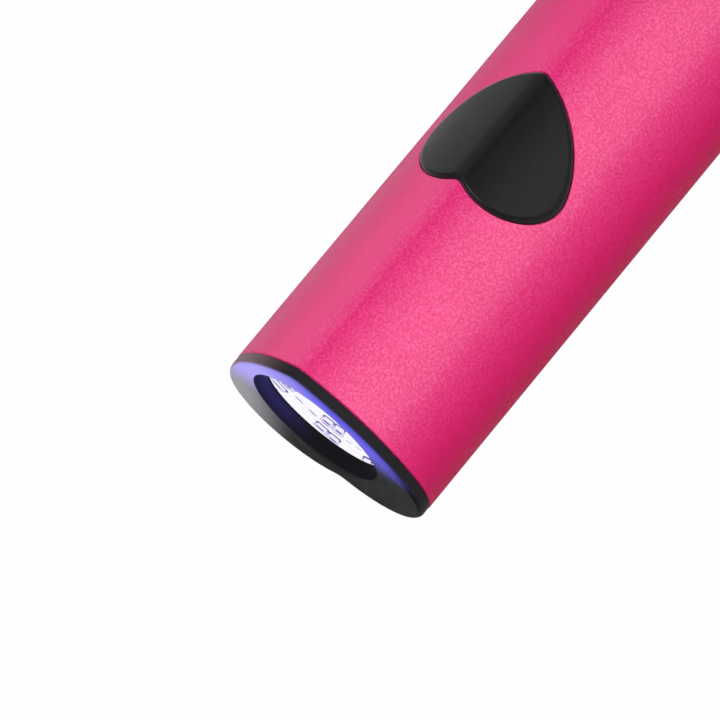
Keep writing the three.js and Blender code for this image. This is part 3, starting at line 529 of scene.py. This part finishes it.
def pinkAnodised():
    material, tree, shader, vector = newMaterial(
        "pinkAnodised",
        Metallic=pinkMetal["metallic"],
        Coat_Roughness=pinkMetal["coatRoughness"],
        Coat_IOR=pinkMetal["coatIor"],
        Specular_IOR_Level=pinkMetal["specular"],
    )
    grain = useGroup(tree, blastedGrain, vector, Speck_Size=pinkMetal["speckSize"])
    x, y, z = splitAxes(tree, vector)
    # painted lighting: the grain and its glints show less left of the ridge
    side = ramp(tree, x, *pinkMetal["evenLitAcross"], pinkMetal["evenLitGrain"], 1.0)
    specks = calc(tree, "MULTIPLY_ADD", calc(tree, "SUBTRACT", grain.outputs["Specks"], 0.5), side, 0.5)
    # painted shade: the base color darkens low on the lobes
    lobeShade = ramp(tree, z, pinkMetal["shadeBelow"], pinkMetal["shadeAbove"], 1.0, 0.0)
    color = mixColor(tree, specks, pinkMetal["dark"], pinkMetal["light"])
    tree.links.new(mixColor(tree, lobeShade, color, pinkMetal["lobeShade"]), shader.inputs["Base Color"])
    spread = pinkMetal["roughnessSpread"]
    smoothest = pinkMetal["roughness"] - spread / 2
    rough = calc(tree, "MULTIPLY_ADD", grain.outputs["Cloud"], spread, smoothest)
    tree.links.new(rough, shader.inputs["Roughness"])
    glint = ramp(tree, specks, *pinkMetal["coatSpecks"], pinkMetal["coatLow"], pinkMetal["coatHigh"])
    # coat weight masked by place: painted shade on the reflections down the lobes and towards the tail
    # on the left flank
    sheen = ramp(tree, z, pinkMetal["sheenLow"], pinkMetal["sheenHigh"])
    rightward = ramp(tree, x, *pinkMetal["leftAcross"])
    tailward = ramp(tree, y, *pinkMetal["leftAlong"], *pinkMetal["leftSheen"])
    sheen = calc(tree, "MULTIPLY", sheen, calc(tree, "MAXIMUM", tailward, rightward))
    tree.links.new(calc(tree, "MULTIPLY", glint, sheen), shader.inputs["Coat Weight"])
    addBump(tree, shader, specks, pinkMetal["bumpHeight"])
    return material


lensSeat = {
    "centre": 13.4277 * mm,
    "mouthCentre": 14.80 * mm,  # above the lens's middle
    "mouth": 9.273 * mm,
    "mouthTall": 1.04,  # its height is this many times its width
    "throatCentre": 14.40 * mm,
    "throat": 8.923 * mm,
    "depth": 2.0 * mm,
    "pocket": 10.32 * mm,
    "pocketEnd": 3.30 * mm,
    "bore": 9.823 * mm,
    "wall": 1.2 * mm,
    "lens": 10.2 * mm,
    "lensGap": 0.05 * mm,
    "lensThickness": 1.2 * mm,
    "lensChamfer": 0.2 * mm,
    "edge": 0.12 * mm,  # round of the mouth's edge
    "edgeRings": 4,
    "bossX": 10.546 * mm,  # the two screw bosses
    "bossZ": 6.08 * mm,
    "bossRadius": 1.8 * mm,
    "bossEnd": 6.9 * mm,
    "screwHole": 0.95 * mm,
    "holeFrom": 2.3 * mm,  # depth at which the screw holes start
}

bezelLook = {
    "faceColor": (0.004, 0.004, 0.0045),
    "bandColor": (0.024, 0.022, 0.024),
    # painted reflection on the band's left end
    "bandReflection": (0.30, 0.195, 0.235),
    "bandReflectionFrom": -12.5 * mm,
    "bandReflectionTo": -1 * mm,
    "gloss": (0.30, 0.36),
    "glossScale": 700.0,
    "specular": 0.02,
    # painted glow of the lens's light on the face
    "lavender": (0.42, 0.355, 0.92),
    "violet": (0.12, 0.105, 0.74),
    "lavenderTo": -8 * mm,
    "violetFrom": 6 * mm,
    "violetLow": -2.5 * mm,  # height over the mouth's middle where the violet starts
    "violetHigh": 5.5 * mm,
    "unlit": (0.0, 0.0, 0.0),
    # painted reflection low at the left of the face
    "pale": (0.31, 0.305, 0.330),
    "paleFrom": -3 * mm,
    "paleTo": -13 * mm,
    "paleLean": 0.3,
    # painted glow on the recess's wall, and a dim painted glow all over it
    "wall": (0.020, 0.016, 0.088),
    "wallFaintGlow": (0.0055, 0.0045, 0.007),
    "wallAcross": (-9.4 * mm, -3 * mm),
    "wallRadius": 9.45 * mm,
    "wallEdge": 0.03 * mm,
    "atMouth": 0.45,  # share of the wall's glow there, and depths between which it grows
    "mouthDepths": (0.1 * mm, 1.2 * mm),
    "atLens": 0.2,  # share there, and depths between which it dies away: a painted dark line of shade next to the lens
    "lensDepths": (1.5 * mm, 1.95 * mm),
    "faceDepths": (0.084 * mm, 0.42 * mm),  # between which the face's glow dies away
}


def faceLight(tree, x, up):
    # painted violet glow over the upper face, lavender at its left, and a painted pale reflection low
    # at the left
    across = ramp(tree, x, bezelLook["lavenderTo"], bezelLook["violetFrom"])
    violet = mixColor(tree, across, bezelLook["lavender"], bezelLook["violet"])
    aslant = calc(tree, "SUBTRACT", x, calc(tree, "MULTIPLY", up, bezelLook["paleLean"]))
    paleness = ramp(tree, aslant, bezelLook["paleTo"], bezelLook["paleFrom"], 1.0, 0.0)
    pale = mixColor(tree, paleness, bezelLook["unlit"], bezelLook["pale"])
    upward = ramp(tree, up, bezelLook["violetLow"], bezelLook["violetHigh"])
    return mixColor(tree, upward, pale, violet)


def recessLight(tree, x, depth):
    # painted violet glow on the left of the recess's wall, a dim painted glow elsewhere on it, and
    # painted shade next to the lens
    leftward = ramp(tree, x, *bezelLook["wallAcross"], 1.0, 0.0)
    atMouth = ramp(tree, depth, *bezelLook["mouthDepths"], bezelLook["atMouth"], 1.0)
    atLens = ramp(tree, depth, *bezelLook["lensDepths"], 1.0, bezelLook["atLens"])
    lit = chain(tree, "MULTIPLY", atLens, atMouth, leftward)
    return mixColor(tree, lit, bezelLook["wallFaintGlow"], bezelLook["wall"])


def bezelGloss():
    # glossy black, with a painted glow of the lens's violet light over its upper face and its recess,
    # and a painted reflection on the band's left end
    material, tree, shader, vector = newMaterial(
        "bezelGloss", Specular_IOR_Level=bezelLook["specular"], Emission_Strength=1.0
    )
    low, high = bezelLook["gloss"]
    mottle = useGroup(tree, surfaceMottle, vector, Scale=bezelLook["glossScale"], Low=low, High=high)
    tree.links.new(mottle.outputs["Roughness"], shader.inputs["Roughness"])
    x, y, z = splitAxes(tree, vector)
    up = calc(tree, "SUBTRACT", z, lensSeat["mouthCentre"])
    depth = calc(tree, "SUBTRACT", y, lampFront)
    rise = calc(tree, "DIVIDE", up, lensSeat["mouthTall"])
    squares = calc(tree, "ADD", calc(tree, "MULTIPLY", x, x), calc(tree, "MULTIPLY", rise, rise))
    radius = calc(tree, "SQRT", squares)
    wall = bezelLook["wallRadius"]
    inside = ramp(tree, radius, wall - bezelLook["wallEdge"], wall, 1.0, 0.0)
    onFace = ramp(tree, depth, *bezelLook["faceDepths"], 1.0, 0.0)
    # painted reflection: the band is paler at its left end
    reflectionEnd = ramp(tree, x, bezelLook["bandReflectionFrom"], bezelLook["bandReflectionTo"], 1.0, 0.0)
    bandColor = mixColor(tree, reflectionEnd, bezelLook["bandColor"], bezelLook["bandReflection"])
    color = mixColor(tree, onFace, bandColor, bezelLook["faceColor"])
    color = mixColor(tree, inside, color, bezelLook["faceColor"])
    tree.links.new(color, shader.inputs["Base Color"])
    # the painted glow and painted reflections go in as emission
    glow = mixColor(tree, onFace, bezelLook["unlit"], faceLight(tree, x, up))
    glow = mixColor(tree, inside, glow, recessLight(tree, x, depth))
    tree.links.new(glow, shader.inputs["Emission Color"])
    return material


def plainFinish(name, color, low, high, scale=500.0, bump=0.0, **settings):
    material, tree, shader, vector = newMaterial(name, **settings)
    mottle = useGroup(tree, surfaceMottle, vector, Scale=scale, Low=low, High=high)
    tree.links.new(mottle.outputs["Roughness"], shader.inputs["Roughness"])
    darker = tuple(channel * mottleLook["darker"] for channel in color)
    tree.links.new(mixColor(tree, mottle.outputs["Mask"], darker, color), shader.inputs["Base Color"])
    if bump:
        addBump(tree, shader, mottle.outputs["Mask"], bump)
    return material


lensLook = {
    "glass": (0.02, 0.02, 0.03),
    "roughness": 0.1,
    "specular": 0.2,
    "bend": (-3.333 * mm, -0.384, 79.0),  # level of the row between two lines of packages, over x
    "lean": 0.4,
    "rowPitch": 5.85 * mm,
    "rowMargin": 0.585 * mm,  # how far a row reaches below its own level
    "columnPitch": 3.35 * mm,
    "firstColumn": -0.49 * mm,
    "halfWidth": 1.54 * mm,
    "split": 0.10 * mm,
    "top": 4.1 * mm,  # levels over the bent row
    "foot": 0.3 * mm,
    "bar": 1.33 * mm,
    "hook": 1.3 * mm,
    "barMiddle": 0.85 * mm,
    "barHalf": 0.5 * mm,
    "dashHalf": 0.48 * mm,
    "topLine": 0.357 * mm,  # half thicknesses of the lines
    "barLine": 0.42 * mm,
    "footLine": 0.21 * mm,
    "dashLine": 0.315 * mm,
    "sideLine": 0.13 * mm,
    "softness": (0.6, 1.3),  # shares of half a line's thickness between which it fades out
    "dashAcross": (-3 * mm, 1 * mm),
    "dashRight": 0.4,  # how much shows of the dashes at the right
    "edge": 0.35,  # of the packages' sides and foot
    "faint": 0.10,  # and of every second column, lost in the glare
    "white": (1.0, 0.985, 1.0),
    "haze": (0.93, 0.90, 1.0),
    "hazeScale": 420.0,
    "hazeDetail": 2.0,
    "hazeContrast": (0.45, 0.7),
    "lines": (0.125, 0.095, 0.36),
    "tint": (0.86, 0.82, 1.0),
}


def band(tree, value, middle, half):
    # 1 where the value is within half of the middle, with a soft edge
    away = calc(tree, "ABSOLUTE", calc(tree, "SUBTRACT", value, middle))
    full, none = lensLook["softness"]
    return ramp(tree, away, half * full, half * none, 1.0, 0.0)


def packageRows(tree, x, z):
    # height over the first bent row, height in the point's own row, and distance along the rows
    level, slope, bow = lensLook["bend"]
    bend = calc(tree, "MULTIPLY_ADD", calc(tree, "MULTIPLY_ADD", x, bow, slope), x, level)
    rise = calc(tree, "SUBTRACT", z, bend)
    margin = lensLook["rowMargin"]
    inRow = calc(tree, "FLOORED_MODULO", calc(tree, "ADD", rise, margin), lensLook["rowPitch"])
    inRow = calc(tree, "SUBTRACT", inRow, margin)
    along = calc(tree, "SUBTRACT", x, calc(tree, "MULTIPLY", rise, lensLook["lean"]))
    along = calc(tree, "ADD", along, lensLook["columnPitch"] / 2 - lensLook["firstColumn"])
    return rise, inRow, along


def packageLines(tree, inRow, side):
    # a closed package of two chips: hooked top, bars, and fainter sides and foot
    width, gap, top = lensLook["halfWidth"], lensLook["split"], lensLook["top"]
    within = calc(tree, "LESS_THAN", side, width)
    within = calc(tree, "MULTIPLY", within, calc(tree, "GREATER_THAN", side, gap))
    outline = calc(tree, "MULTIPLY", band(tree, inRow, top, lensLook["topLine"]), within)
    outer = band(tree, side, width, lensLook["sideLine"])
    sides = calc(tree, "MAXIMUM", outer, band(tree, side, gap, lensLook["sideLine"]))
    hook = lensLook["hook"] / 2
    hooks = calc(tree, "MULTIPLY", sides, band(tree, inRow, top - hook, hook))
    bar = band(tree, side, lensLook["barMiddle"], lensLook["barHalf"])
    bars = calc(tree, "MULTIPLY", band(tree, inRow, lensLook["bar"], lensLook["barLine"]), bar)
    foot = calc(tree, "MULTIPLY", band(tree, inRow, lensLook["foot"], lensLook["footLine"]), within)
    sides = calc(tree, "MULTIPLY", sides, band(tree, inRow, top / 2, top / 2))
    rest = calc(tree, "MULTIPLY", calc(tree, "MAXIMUM", sides, foot), lensLook["edge"])
    return chain(tree, "MAXIMUM", outline, hooks, bars, rest)


def dashLines(tree, x, rise, inRow, along):
    # dashes along a row's level, two to a package, from the first row up, and paler at the right
    half = lensLook["columnPitch"] / 2
    dash = band(tree, calc(tree, "FLOORED_MODULO", along, half), half / 2, lensLook["dashHalf"])
    row = band(tree, inRow, 0.0, lensLook["dashLine"])
    leftward = ramp(tree, x, *lensLook["dashAcross"], 1.0, lensLook["dashRight"])
    upper = calc(tree, "GREATER_THAN", rise, -lensLook["rowPitch"] / 2)
    return chain(tree, "MULTIPLY", row, dash, leftward, upper)


def litLens():
    # the lit packages seen through the lens, in bent rows
    material, tree, shader, vector = newMaterial(
        "litLens",
        Base_Color=lensLook["glass"],
        Roughness=lensLook["roughness"],
        Specular_IOR_Level=lensLook["specular"],
        Emission_Strength=1.0,
    )
    x, _, z = splitAxes(tree, vector)
    rise, inRow, along = packageRows(tree, x, calc(tree, "SUBTRACT", z, lensSeat["centre"]))
    pitch = lensLook["columnPitch"]
    inColumn = calc(tree, "SUBTRACT", calc(tree, "FLOORED_MODULO", along, pitch), pitch / 2)
    side = calc(tree, "ABSOLUTE", inColumn)
    odd = calc(tree, "FLOORED_MODULO", calc(tree, "FLOOR", calc(tree, "DIVIDE", along, pitch)), 2.0)
    shown = calc(tree, "MULTIPLY_ADD", odd, lensLook["faint"] - 1, 1.0)
    marks = calc(tree, "MULTIPLY", packageLines(tree, inRow, side), shown)
    lines = calc(tree, "MAXIMUM", marks, dashLines(tree, x, rise, inRow, along))
    cloud = noise(tree, vector, lensLook["hazeScale"], lensLook["hazeDetail"])
    haze = ramp(tree, cloud, *lensLook["hazeContrast"])
    color = mixColor(tree, haze, lensLook["white"], lensLook["haze"])
    middle = lensLook["top"] / 2
    within = calc(tree, "LESS_THAN", side, lensLook["halfWidth"])
    package = chain(tree, "MULTIPLY", band(tree, inRow, middle, middle), within, shown)
    color = mixColor(tree, package, color, lensLook["tint"])
    color = mixColor(tree, lines, color, lensLook["lines"])
    tree.links.new(color, shader.inputs["Emission Color"])
    return material


keySatin = {
    "scale": 900.0,
    "Specular_IOR_Level": 0.23,
    "Sheen_Weight": 0.46,
    "Sheen_Tint": (0.96, 0.93, 1.0),
    "Sheen_Roughness": 0.35,
}
metal = {"Metallic": 1.0}
# For each slot: the material's name and color, its lowest and highest roughness, and what else it has
plainLooks = {
    "black_gloss": ("capGloss", (0.012, 0.011, 0.013), 0.2, 0.27, {"scale": 700.0}),
    "key_black": ("keySatin", (0.0045, 0.0045, 0.006), 0.38, 0.44, keySatin),
    "clear_plastic": ("clearPlastic", (0.86, 0.84, 1.0), 0.05, 0.1, {"scale": 400.0, "Alpha": 0.5}),
    "white_plastic": ("whitePlastic", (0.9, 0.9, 0.94), 0.3, 0.4, {}),
    "grey_plastic": ("greyPlastic", (0.15, 0.16, 0.17), 0.5, 0.65, {}),
    "silicone": ("silicone", (0.6, 0.61, 0.63), 0.6, 0.75, {}),
    "bare_aluminium": ("bareAluminium", (0.62, 0.63, 0.65), 0.3, 0.42, metal),
    "cell_metal": ("cellMetal", (0.58, 0.59, 0.61), 0.2, 0.3, metal),
    "nickel_strip": ("nickelStrip", (0.64, 0.62, 0.58), 0.25, 0.35, metal),
    "screw_steel": ("screwSteel", (0.32, 0.33, 0.35), 0.3, 0.4, metal),
    "socket_steel": ("socketSteel", (0.62, 0.63, 0.65), 0.22, 0.32, metal),
    "board_green": ("boardGreen", (0.02, 0.16, 0.06), 0.3, 0.4, {}),
    "chip_black": ("chipBlack", (0.012, 0.012, 0.013), 0.5, 0.65, {}),
    "inductor_grey": ("inductorGrey", (0.05, 0.05, 0.055), 0.5, 0.6, {}),
    "sleeve_blue": ("sleeveBlue", (0.03, 0.11, 0.42), 0.25, 0.35, {}),
    "paper": ("fishPaper", (0.6, 0.5, 0.3), 0.8, 0.9, {}),
    "foam": ("closedFoam", (0.03, 0.03, 0.03), 0.85, 0.95, {"scale": 2500.0, "bump": 0.03 * mm}),
    "red_wire": ("redWire", (0.42, 0.02, 0.02), 0.4, 0.5, {}),
    "black_wire": ("blackWire", (0.01, 0.01, 0.01), 0.4, 0.5, {}),
    "emitter": ("emitterLit", (0.82, 0.78, 1.0), 0.3, 0.4, {}),
}


def buildFinishes():
    made = {"pink_metal": pinkAnodised()}
    for slot, (name, color, low, high, others) in plainLooks.items():
        made[slot] = plainFinish(name, color, low, high, **others)
    return made


def dress(obj, material):
    obj.data.materials.clear()
    obj.data.materials.append(material)


finishes = buildFinishes()
for part in frame["record"]["subparts"]:
    dress(nodes[part["node"]], finishes[part["material_slot"]])
print("materials made")

# Body tube: the section drawn out with small chamfers at its ends, less the key's window

tube = {
    "wall": 1.2 * mm,
    "endGap": 0.05 * mm,
    "flange": 1.6 * mm,
    "endChamfer": 0.2 * mm,
    "smooth": 25,
}
keyWindow = {
    "fromFront": 30.8 * mm,
    "gap": 0.12 * mm,
    "chamfer": 0.12 * mm,
    "overrun": 0.3 * mm,
    "reach": 1.0 * mm,  # how far past the key's outline the cuts across it go
    "floor": 18.293 * mm,  # level down to which the window is cut
}


def makeTube():
    start = lampFront + tube["flange"] + tube["endGap"]
    end = lampTail - tube["flange"] - tube["endGap"]
    lip = tube["endChamfer"]
    inside = tube["wall"]
    steps = [(lip, start), (0, start + lip), (0, end - lip), (lip, end), (inside, end), (inside, start)]
    loops = [drawHeart(section, inset, level, "XZ") for inset, level in steps]
    body = stackLoops(loops, 1, closed=True)
    gap = keyWindow["gap"]
    chamfer = keyWindow["chamfer"]
    over = keyWindow["overrun"]
    cutter = heartOverRidge([(-gap, -chamfer), (-gap - chamfer - over, over)], keyWindow["floor"], 0)
    combine(body, "DIFFERENCE", cutter)
    finishPiece(body, "bodyTube", "lamp_body", tube["smooth"])
    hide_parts("body_tube")
    dress(body, finishes["pink_metal"])


makeTube()
print("tube made")

# Heart key, bent over the ridge with a rounded rim: a hollow cap with lips and a post

key = {
    "proud": 0.50 * mm,
    "round": 0.55 * mm,
    "rounds": 9,
    "level": 0.08 * mm,  # flat row inside the rounded rim
    "foot": 19.093 * mm,
    "hollow": 1.9 * mm,  # insets of the section at its hollow and its lips
    "lipTop": 1.35 * mm,
    "lipThickness": 0.85 * mm,
    "lipReach": 1.2 * mm,
    "lipWidth": 12 * mm,
    "postRadius": 2 * mm,
    "postPlace": 39.4 * mm,
    "postFoot": 23.393 * mm,
    "postTop": 26.2 * mm,
    "postSides": 48,
    "ceiling": 28 * mm,  # level over the lips
    "overrun": 3 * mm,
    "smooth": 40,
}


def makeKey():
    rings = []
    for i in range(key["rounds"] + 1):
        angle = math.pi / 2 * i / key["rounds"]
        rings.append((key["round"] * (1 - math.cos(angle)), key["round"] * (math.sin(angle) - 1)))
    rings.append((key["round"] + key["level"], 0))
    body = heartOverRidge(rings, key["foot"], -key["proud"])
    start = lampFront + keyWindow["fromFront"]
    end = start + keyPlan["height"]
    over = key["overrun"]
    combine(body, "DIFFERENCE", heartBar(key["hollow"], start - over, end + over))
    lips = heartBar(key["lipTop"], start - over, end + over)
    under = heartBar(key["lipTop"] + key["lipThickness"], start - 2 * over, end + 2 * over)
    combine(lips, "DIFFERENCE", under)
    combine(lips, "INTERSECT", planBar(key["lipReach"], key["foot"], key["ceiling"]))
    half = key["lipWidth"] / 2
    middle = box((-half, start - over, key["foot"]), (half, end + over, key["ceiling"]))
    combine(lips, "INTERSECT", middle)
    combine(body, "UNION", lips)
    deselectAll()
    depth = key["postTop"] - key["postFoot"]
    place = (0, lampFront + key["postPlace"], key["postFoot"] + depth / 2)
    bpy.ops.mesh.primitive_cylinder_add(
        vertices=key["postSides"], radius=key["postRadius"], depth=depth, location=place
    )
    post = bpy.context.object
    bpy.ops.object.transform_apply(location=True)
    combine(body, "UNION", post)
    finishPiece(body, "heartKey", "key", key["smooth"])
    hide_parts("button_cap")
    dress(body, finishes["key_black"])


makeKey()
print("key made")

# Caps: a flange with a rounded rim and a hollow plug behind it

cap = {
    "step": 0.05 * mm,  # how far the flange stays inside the tube's outline
    "round": 0.7 * mm,
    "rounds": 8,
    "level": 0.1 * mm,  # flat row inside the rounded rim
    "plugInset": 1.35 * mm,
    "plugWall": 1.2 * mm,
    "plugLength": 5.2 * mm,
    "overrun": 3 * mm,
}


def capBlank(face, inward):
    # inward is 1 where the plug runs towards +y
    seam = face + inward * tube["flange"]
    back = seam + inward * cap["plugLength"]
    steps = [(cap["plugInset"], back), (cap["plugInset"], seam), (cap["step"], seam)]
    for i in range(cap["rounds"] + 1):
        angle = math.pi / 2 * i / cap["rounds"]
        inset = cap["step"] + cap["round"] * (1 - math.cos(angle))
        steps.append((inset, face + inward * cap["round"] * (1 - math.sin(angle))))
    steps.append((cap["step"] + cap["round"] + cap["level"], face))
    body = stackLoops([drawHeart(section, inset, level, "XZ") for inset, level in steps], 1)
    roomEnds = sorted((seam, back + inward * cap["overrun"]))
    combine(body, "DIFFERENCE", heartBar(cap["plugInset"] + cap["plugWall"], *roomEnds))
    return body


def mouthCutter(face):
    # the mouth's rounded edge, a little taller than wide, and the throat behind it
    edge = lensSeat["edge"]
    rings = [(lensSeat["mouth"] + edge, face - cap["overrun"])]
    for i in range(lensSeat["edgeRings"]):
        angle = math.pi / 2 * i / (lensSeat["edgeRings"] - 1)
        radius = lensSeat["mouth"] + edge * (1 - math.sin(angle))
        rings.append((radius, face + edge * (1 - math.cos(angle))))
    loops = []
    for radius, level in rings:
        loop = drawCircle(radius, level, (0, 0))
        for vertex in loop.data.vertices:
            vertex.co.z = vertex.co.z * lensSeat["mouthTall"] + lensSeat["mouthCentre"]
        loops.append(loop)
    lip = face + lensSeat["depth"]
    for level in (lip, lip + lensSeat["lensThickness"] / 2):
        loops.append(drawCircle(lensSeat["throat"], level, (0, lensSeat["throatCentre"])))
    return stackLoops(loops, 1)


def makeBezel():
    face = lampFront
    body = capBlank(face, 1)
    centre = (0, lensSeat["centre"])
    back = face + tube["flange"] + cap["plugLength"]
    root = face + tube["flange"] / 2
    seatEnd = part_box("led_board")[0][1]
    seat = lensSeat["bore"] + lensSeat["wall"]
    combine(body, "UNION", turnedBar([(seat, root), (seat, seatEnd)], centre))
    for side in (-1, 1):
        boss = (side * lensSeat["bossX"], lensSeat["bossZ"])
        radius = lensSeat["bossRadius"]
        combine(body, "UNION", turnedBar([(radius, root), (radius, face + lensSeat["bossEnd"])], boss))
        hole = lensSeat["screwHole"]
        steps = [(hole, face + lensSeat["holeFrom"]), (hole, back + cap["overrun"])]
        combine(body, "DIFFERENCE", turnedBar(steps, boss))
    combine(body, "DIFFERENCE", mouthCutter(face))
    lip = face + lensSeat["depth"]
    pocketEnd = face + lensSeat["pocketEnd"]
    steps = [(lensSeat["pocket"], lip), (lensSeat["pocket"], pocketEnd)]
    steps += [(lensSeat["bore"], pocketEnd), (lensSeat["bore"], back + cap["overrun"])]
    combine(body, "DIFFERENCE", turnedBar(steps, centre))
    finishPiece(body, "frontBezel", "lamp_body", drawing["smooth"])
    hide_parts("front_bezel")
    dress(body, bezelGloss())


makeBezel()
print("bezel made")

# Lens window


def makeLens():
    front = lampFront + lensSeat["depth"] + lensSeat["lensGap"]
    back = front + lensSeat["lensThickness"]
    bevel = lensSeat["lensChamfer"]
    radius = lensSeat["lens"]
    steps = [(radius - bevel, front), (radius, front + bevel)]
    steps += [(radius, back - bevel), (radius - bevel, back)]
    body = turnedBar(steps, (0, lensSeat["centre"]))
    finishPiece(body, "lensWindow", "lamp_body", drawing["smooth"])
    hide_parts("lens_window")
    dress(body, litLens())


makeLens()
print("lens made")

# Rear cap: the same flange, with the charging socket's slot and the charge light's hole

port = {
    "width": 9.24 * mm,
    "height": 3.56 * mm,
    "level": 19.973 * mm,
    "chamfer": 0.35 * mm,
    "endSteps": 16,
    "pipePlace": (6.658 * mm, 19.293 * mm),
    "pipeBore": 0.9 * mm,
    "pipeChamfer": 0.15 * mm,
}


def drawSlot(grow, level):
    # a round-ended slot, drawn by spinning each end
    radius = port["height"] / 2 + grow
    reach = (port["width"] - port["height"]) / 2
    deselectAll()
    place = (reach, level, port["level"] - radius)
    bpy.ops.mesh.primitive_plane_add(size=drawing["seed"], location=place)
    obj = bpy.context.object
    bpy.ops.object.transform_apply(location=True)
    editAll()
    bpy.ops.mesh.merge(type="CENTER")
    centre = (reach, level, port["level"])
    bpy.ops.mesh.spin(steps=port["endSteps"], angle=math.pi, center=centre, axis=(0, 1, 0))
    bpy.ops.mesh.extrude_region_move(TRANSFORM_OT_translate={"value": (-2 * reach, 0, 0)})
    centre = (-reach, level, port["level"])
    bpy.ops.mesh.spin(steps=port["endSteps"], angle=math.pi, center=centre, axis=(0, 1, 0))
    bpy.ops.object.mode_set(mode="OBJECT")
    selectVertices(obj, lambda vertex: vertex.co.z < port["level"] - radius + drawing["near"])
    bpy.ops.mesh.edge_face_add()
    bpy.ops.object.mode_set(mode="OBJECT")
    return obj


def makeRearCap():
    face = lampTail
    seam = face - tube["flange"]
    over = cap["overrun"]
    body = capBlank(face, -1)
    bevel = port["chamfer"]
    steps = [(0, seam - over), (0, face - bevel), (bevel, face), (bevel, face + over)]
    combine(body, "DIFFERENCE", stackLoops([drawSlot(grow, level) for grow, level in steps], 1))
    bore = port["pipeBore"]
    bevel = port["pipeChamfer"]
    steps = [(bore, seam - over), (bore, face - bevel)]
    steps += [(bore + bevel, face), (bore + bevel, face + over)]
    combine(body, "DIFFERENCE", turnedBar(steps, port["pipePlace"]))
    finishPiece(body, "rearCap", "lamp_body", drawing["smooth"])
    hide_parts("rear_cap")
    dress(body, finishes["black_gloss"])


makeRearCap()
print("rear cap made")

# Snap dome under the switch's plunger, drawn at rest; the real one flattens as the key goes down

dome = {
    "sides": 48,
    "rings": 32,
    "thickness": 0.12 * mm,
    "footRise": 0.055 * mm,  # its flat rim over the lowest point of the space
    "pressed": 0.75,  # share of its height that is left at the end of the travel
}


def makeDome():
    low, high = [Vector(corner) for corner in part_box("tact_switch_dome")]
    foot = low.z + dome["footRise"]
    reach = (high.x - low.x) / 2
    rise = high.z - foot
    radius = (reach**2 + rise**2) / (2 * rise)
    centre = ((low.x + high.x) / 2, (low.y + high.y) / 2, high.z - radius)
    deselectAll()
    bpy.ops.mesh.primitive_uv_sphere_add(
        segments=dome["sides"], ring_count=dome["rings"], radius=radius, location=centre
    )
    body = bpy.context.object
    bpy.ops.object.transform_apply(location=True)
    editAll()
    bpy.ops.mesh.bisect(plane_co=(0, 0, foot), plane_no=(0, 0, 1), clear_inner=True)
    bpy.ops.object.mode_set(mode="OBJECT")
    applyModifier(body, "SOLIDIFY", thickness=dome["thickness"], offset=-1)
    for vertex in body.data.vertices:
        vertex.co.z = max(vertex.co.z, foot)
    finishPiece(body, "switchDome", "lamp_body", drawing["smooth"])
    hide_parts("tact_switch_dome")
    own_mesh(body)
    dress(body, finishes["nickel_strip"])


makeDome()
print("snap dome made")

# Floor, lights and world

studio = {
    "floorSize": 6.0,
    "floorColor": (0.55, 0.55, 0.56),
    "floorRoughness": 0.9,
    "floorSeen": 0.985,  # share of plain white in what the camera sees
    "floorMirrored": 0.1,  # the same in reflections
    "world": 0.20,  # light from all round, plain white to the camera
    "aim": (0, 0, 15 * mm),
    "lights": [
        {"place": (0.66, 0.16, 0.51), "size": 0.82, "power": 2.75},
        {"place": (-0.78, 0.12, 0.20), "size": 0.76, "power": 1.32},
        {"place": (-0.36, 0.16, 0.70), "size": 0.60, "power": 0.78},
        {"place": (0.10, -0.50, 0.60), "size": 0.35, "power": 3.0},
    ],
}


def makeFloor():
    deselectAll()
    bpy.ops.mesh.primitive_plane_add(size=studio["floorSize"], location=(0, 0, 0))
    floor = bpy.context.object
    floor.name = "floor"
    material, tree, shader, _ = newMaterial(
        "floorPale", Base_Color=studio["floorColor"], Roughness=studio["floorRoughness"]
    )
    white = tree.nodes.new("ShaderNodeEmission")
    path = tree.nodes.new("ShaderNodeLightPath")
    mirrored = calc(tree, "ADD", path.outputs["Is Glossy Ray"], path.outputs["Is Transmission Ray"])
    mirrored = calc(tree, "MULTIPLY", mirrored, studio["floorMirrored"])
    seen = calc(tree, "MULTIPLY", path.outputs["Is Camera Ray"], studio["floorSeen"])
    blend = tree.nodes.new("ShaderNodeMixShader")
    tree.links.new(calc(tree, "ADD", seen, mirrored, clamp=True), blend.inputs[0])
    tree.links.new(shader.outputs[0], blend.inputs[1])
    tree.links.new(white.outputs[0], blend.inputs[2])
    tree.links.new(blend.outputs[0], tree.nodes["Material Output"].inputs["Surface"])
    floor.data.materials.append(material)


def makeLights():
    for light in studio["lights"]:
        bpy.ops.object.light_add(type="AREA", location=light["place"])
        lamp = bpy.context.object
        toward = Vector(studio["aim"]) - Vector(light["place"])
        lamp.rotation_euler = toward.to_track_quat("-Z", "Y").to_euler()
        lamp.data.shape = "DISK"
        lamp.data.size = light["size"]
        lamp.data.energy = light["power"]
    world = bpy.data.worlds.new("studioWorld")
    bpy.context.scene.world = world
    world.use_nodes = True
    tree = world.node_tree
    path = tree.nodes.new("ShaderNodeLightPath")
    seen = path.outputs["Is Camera Ray"]
    strength = calc(tree, "MULTIPLY_ADD", seen, 1 - studio["world"], studio["world"])
    background = tree.nodes["Background"]
    feed(tree, background.inputs["Color"], (1.0, 1.0, 1.0))
    feed(tree, background.inputs["Strength"], strength)


makeFloor()
makeLights()
bpy.context.scene.view_settings.view_transform = "Standard"
print("studio lit")
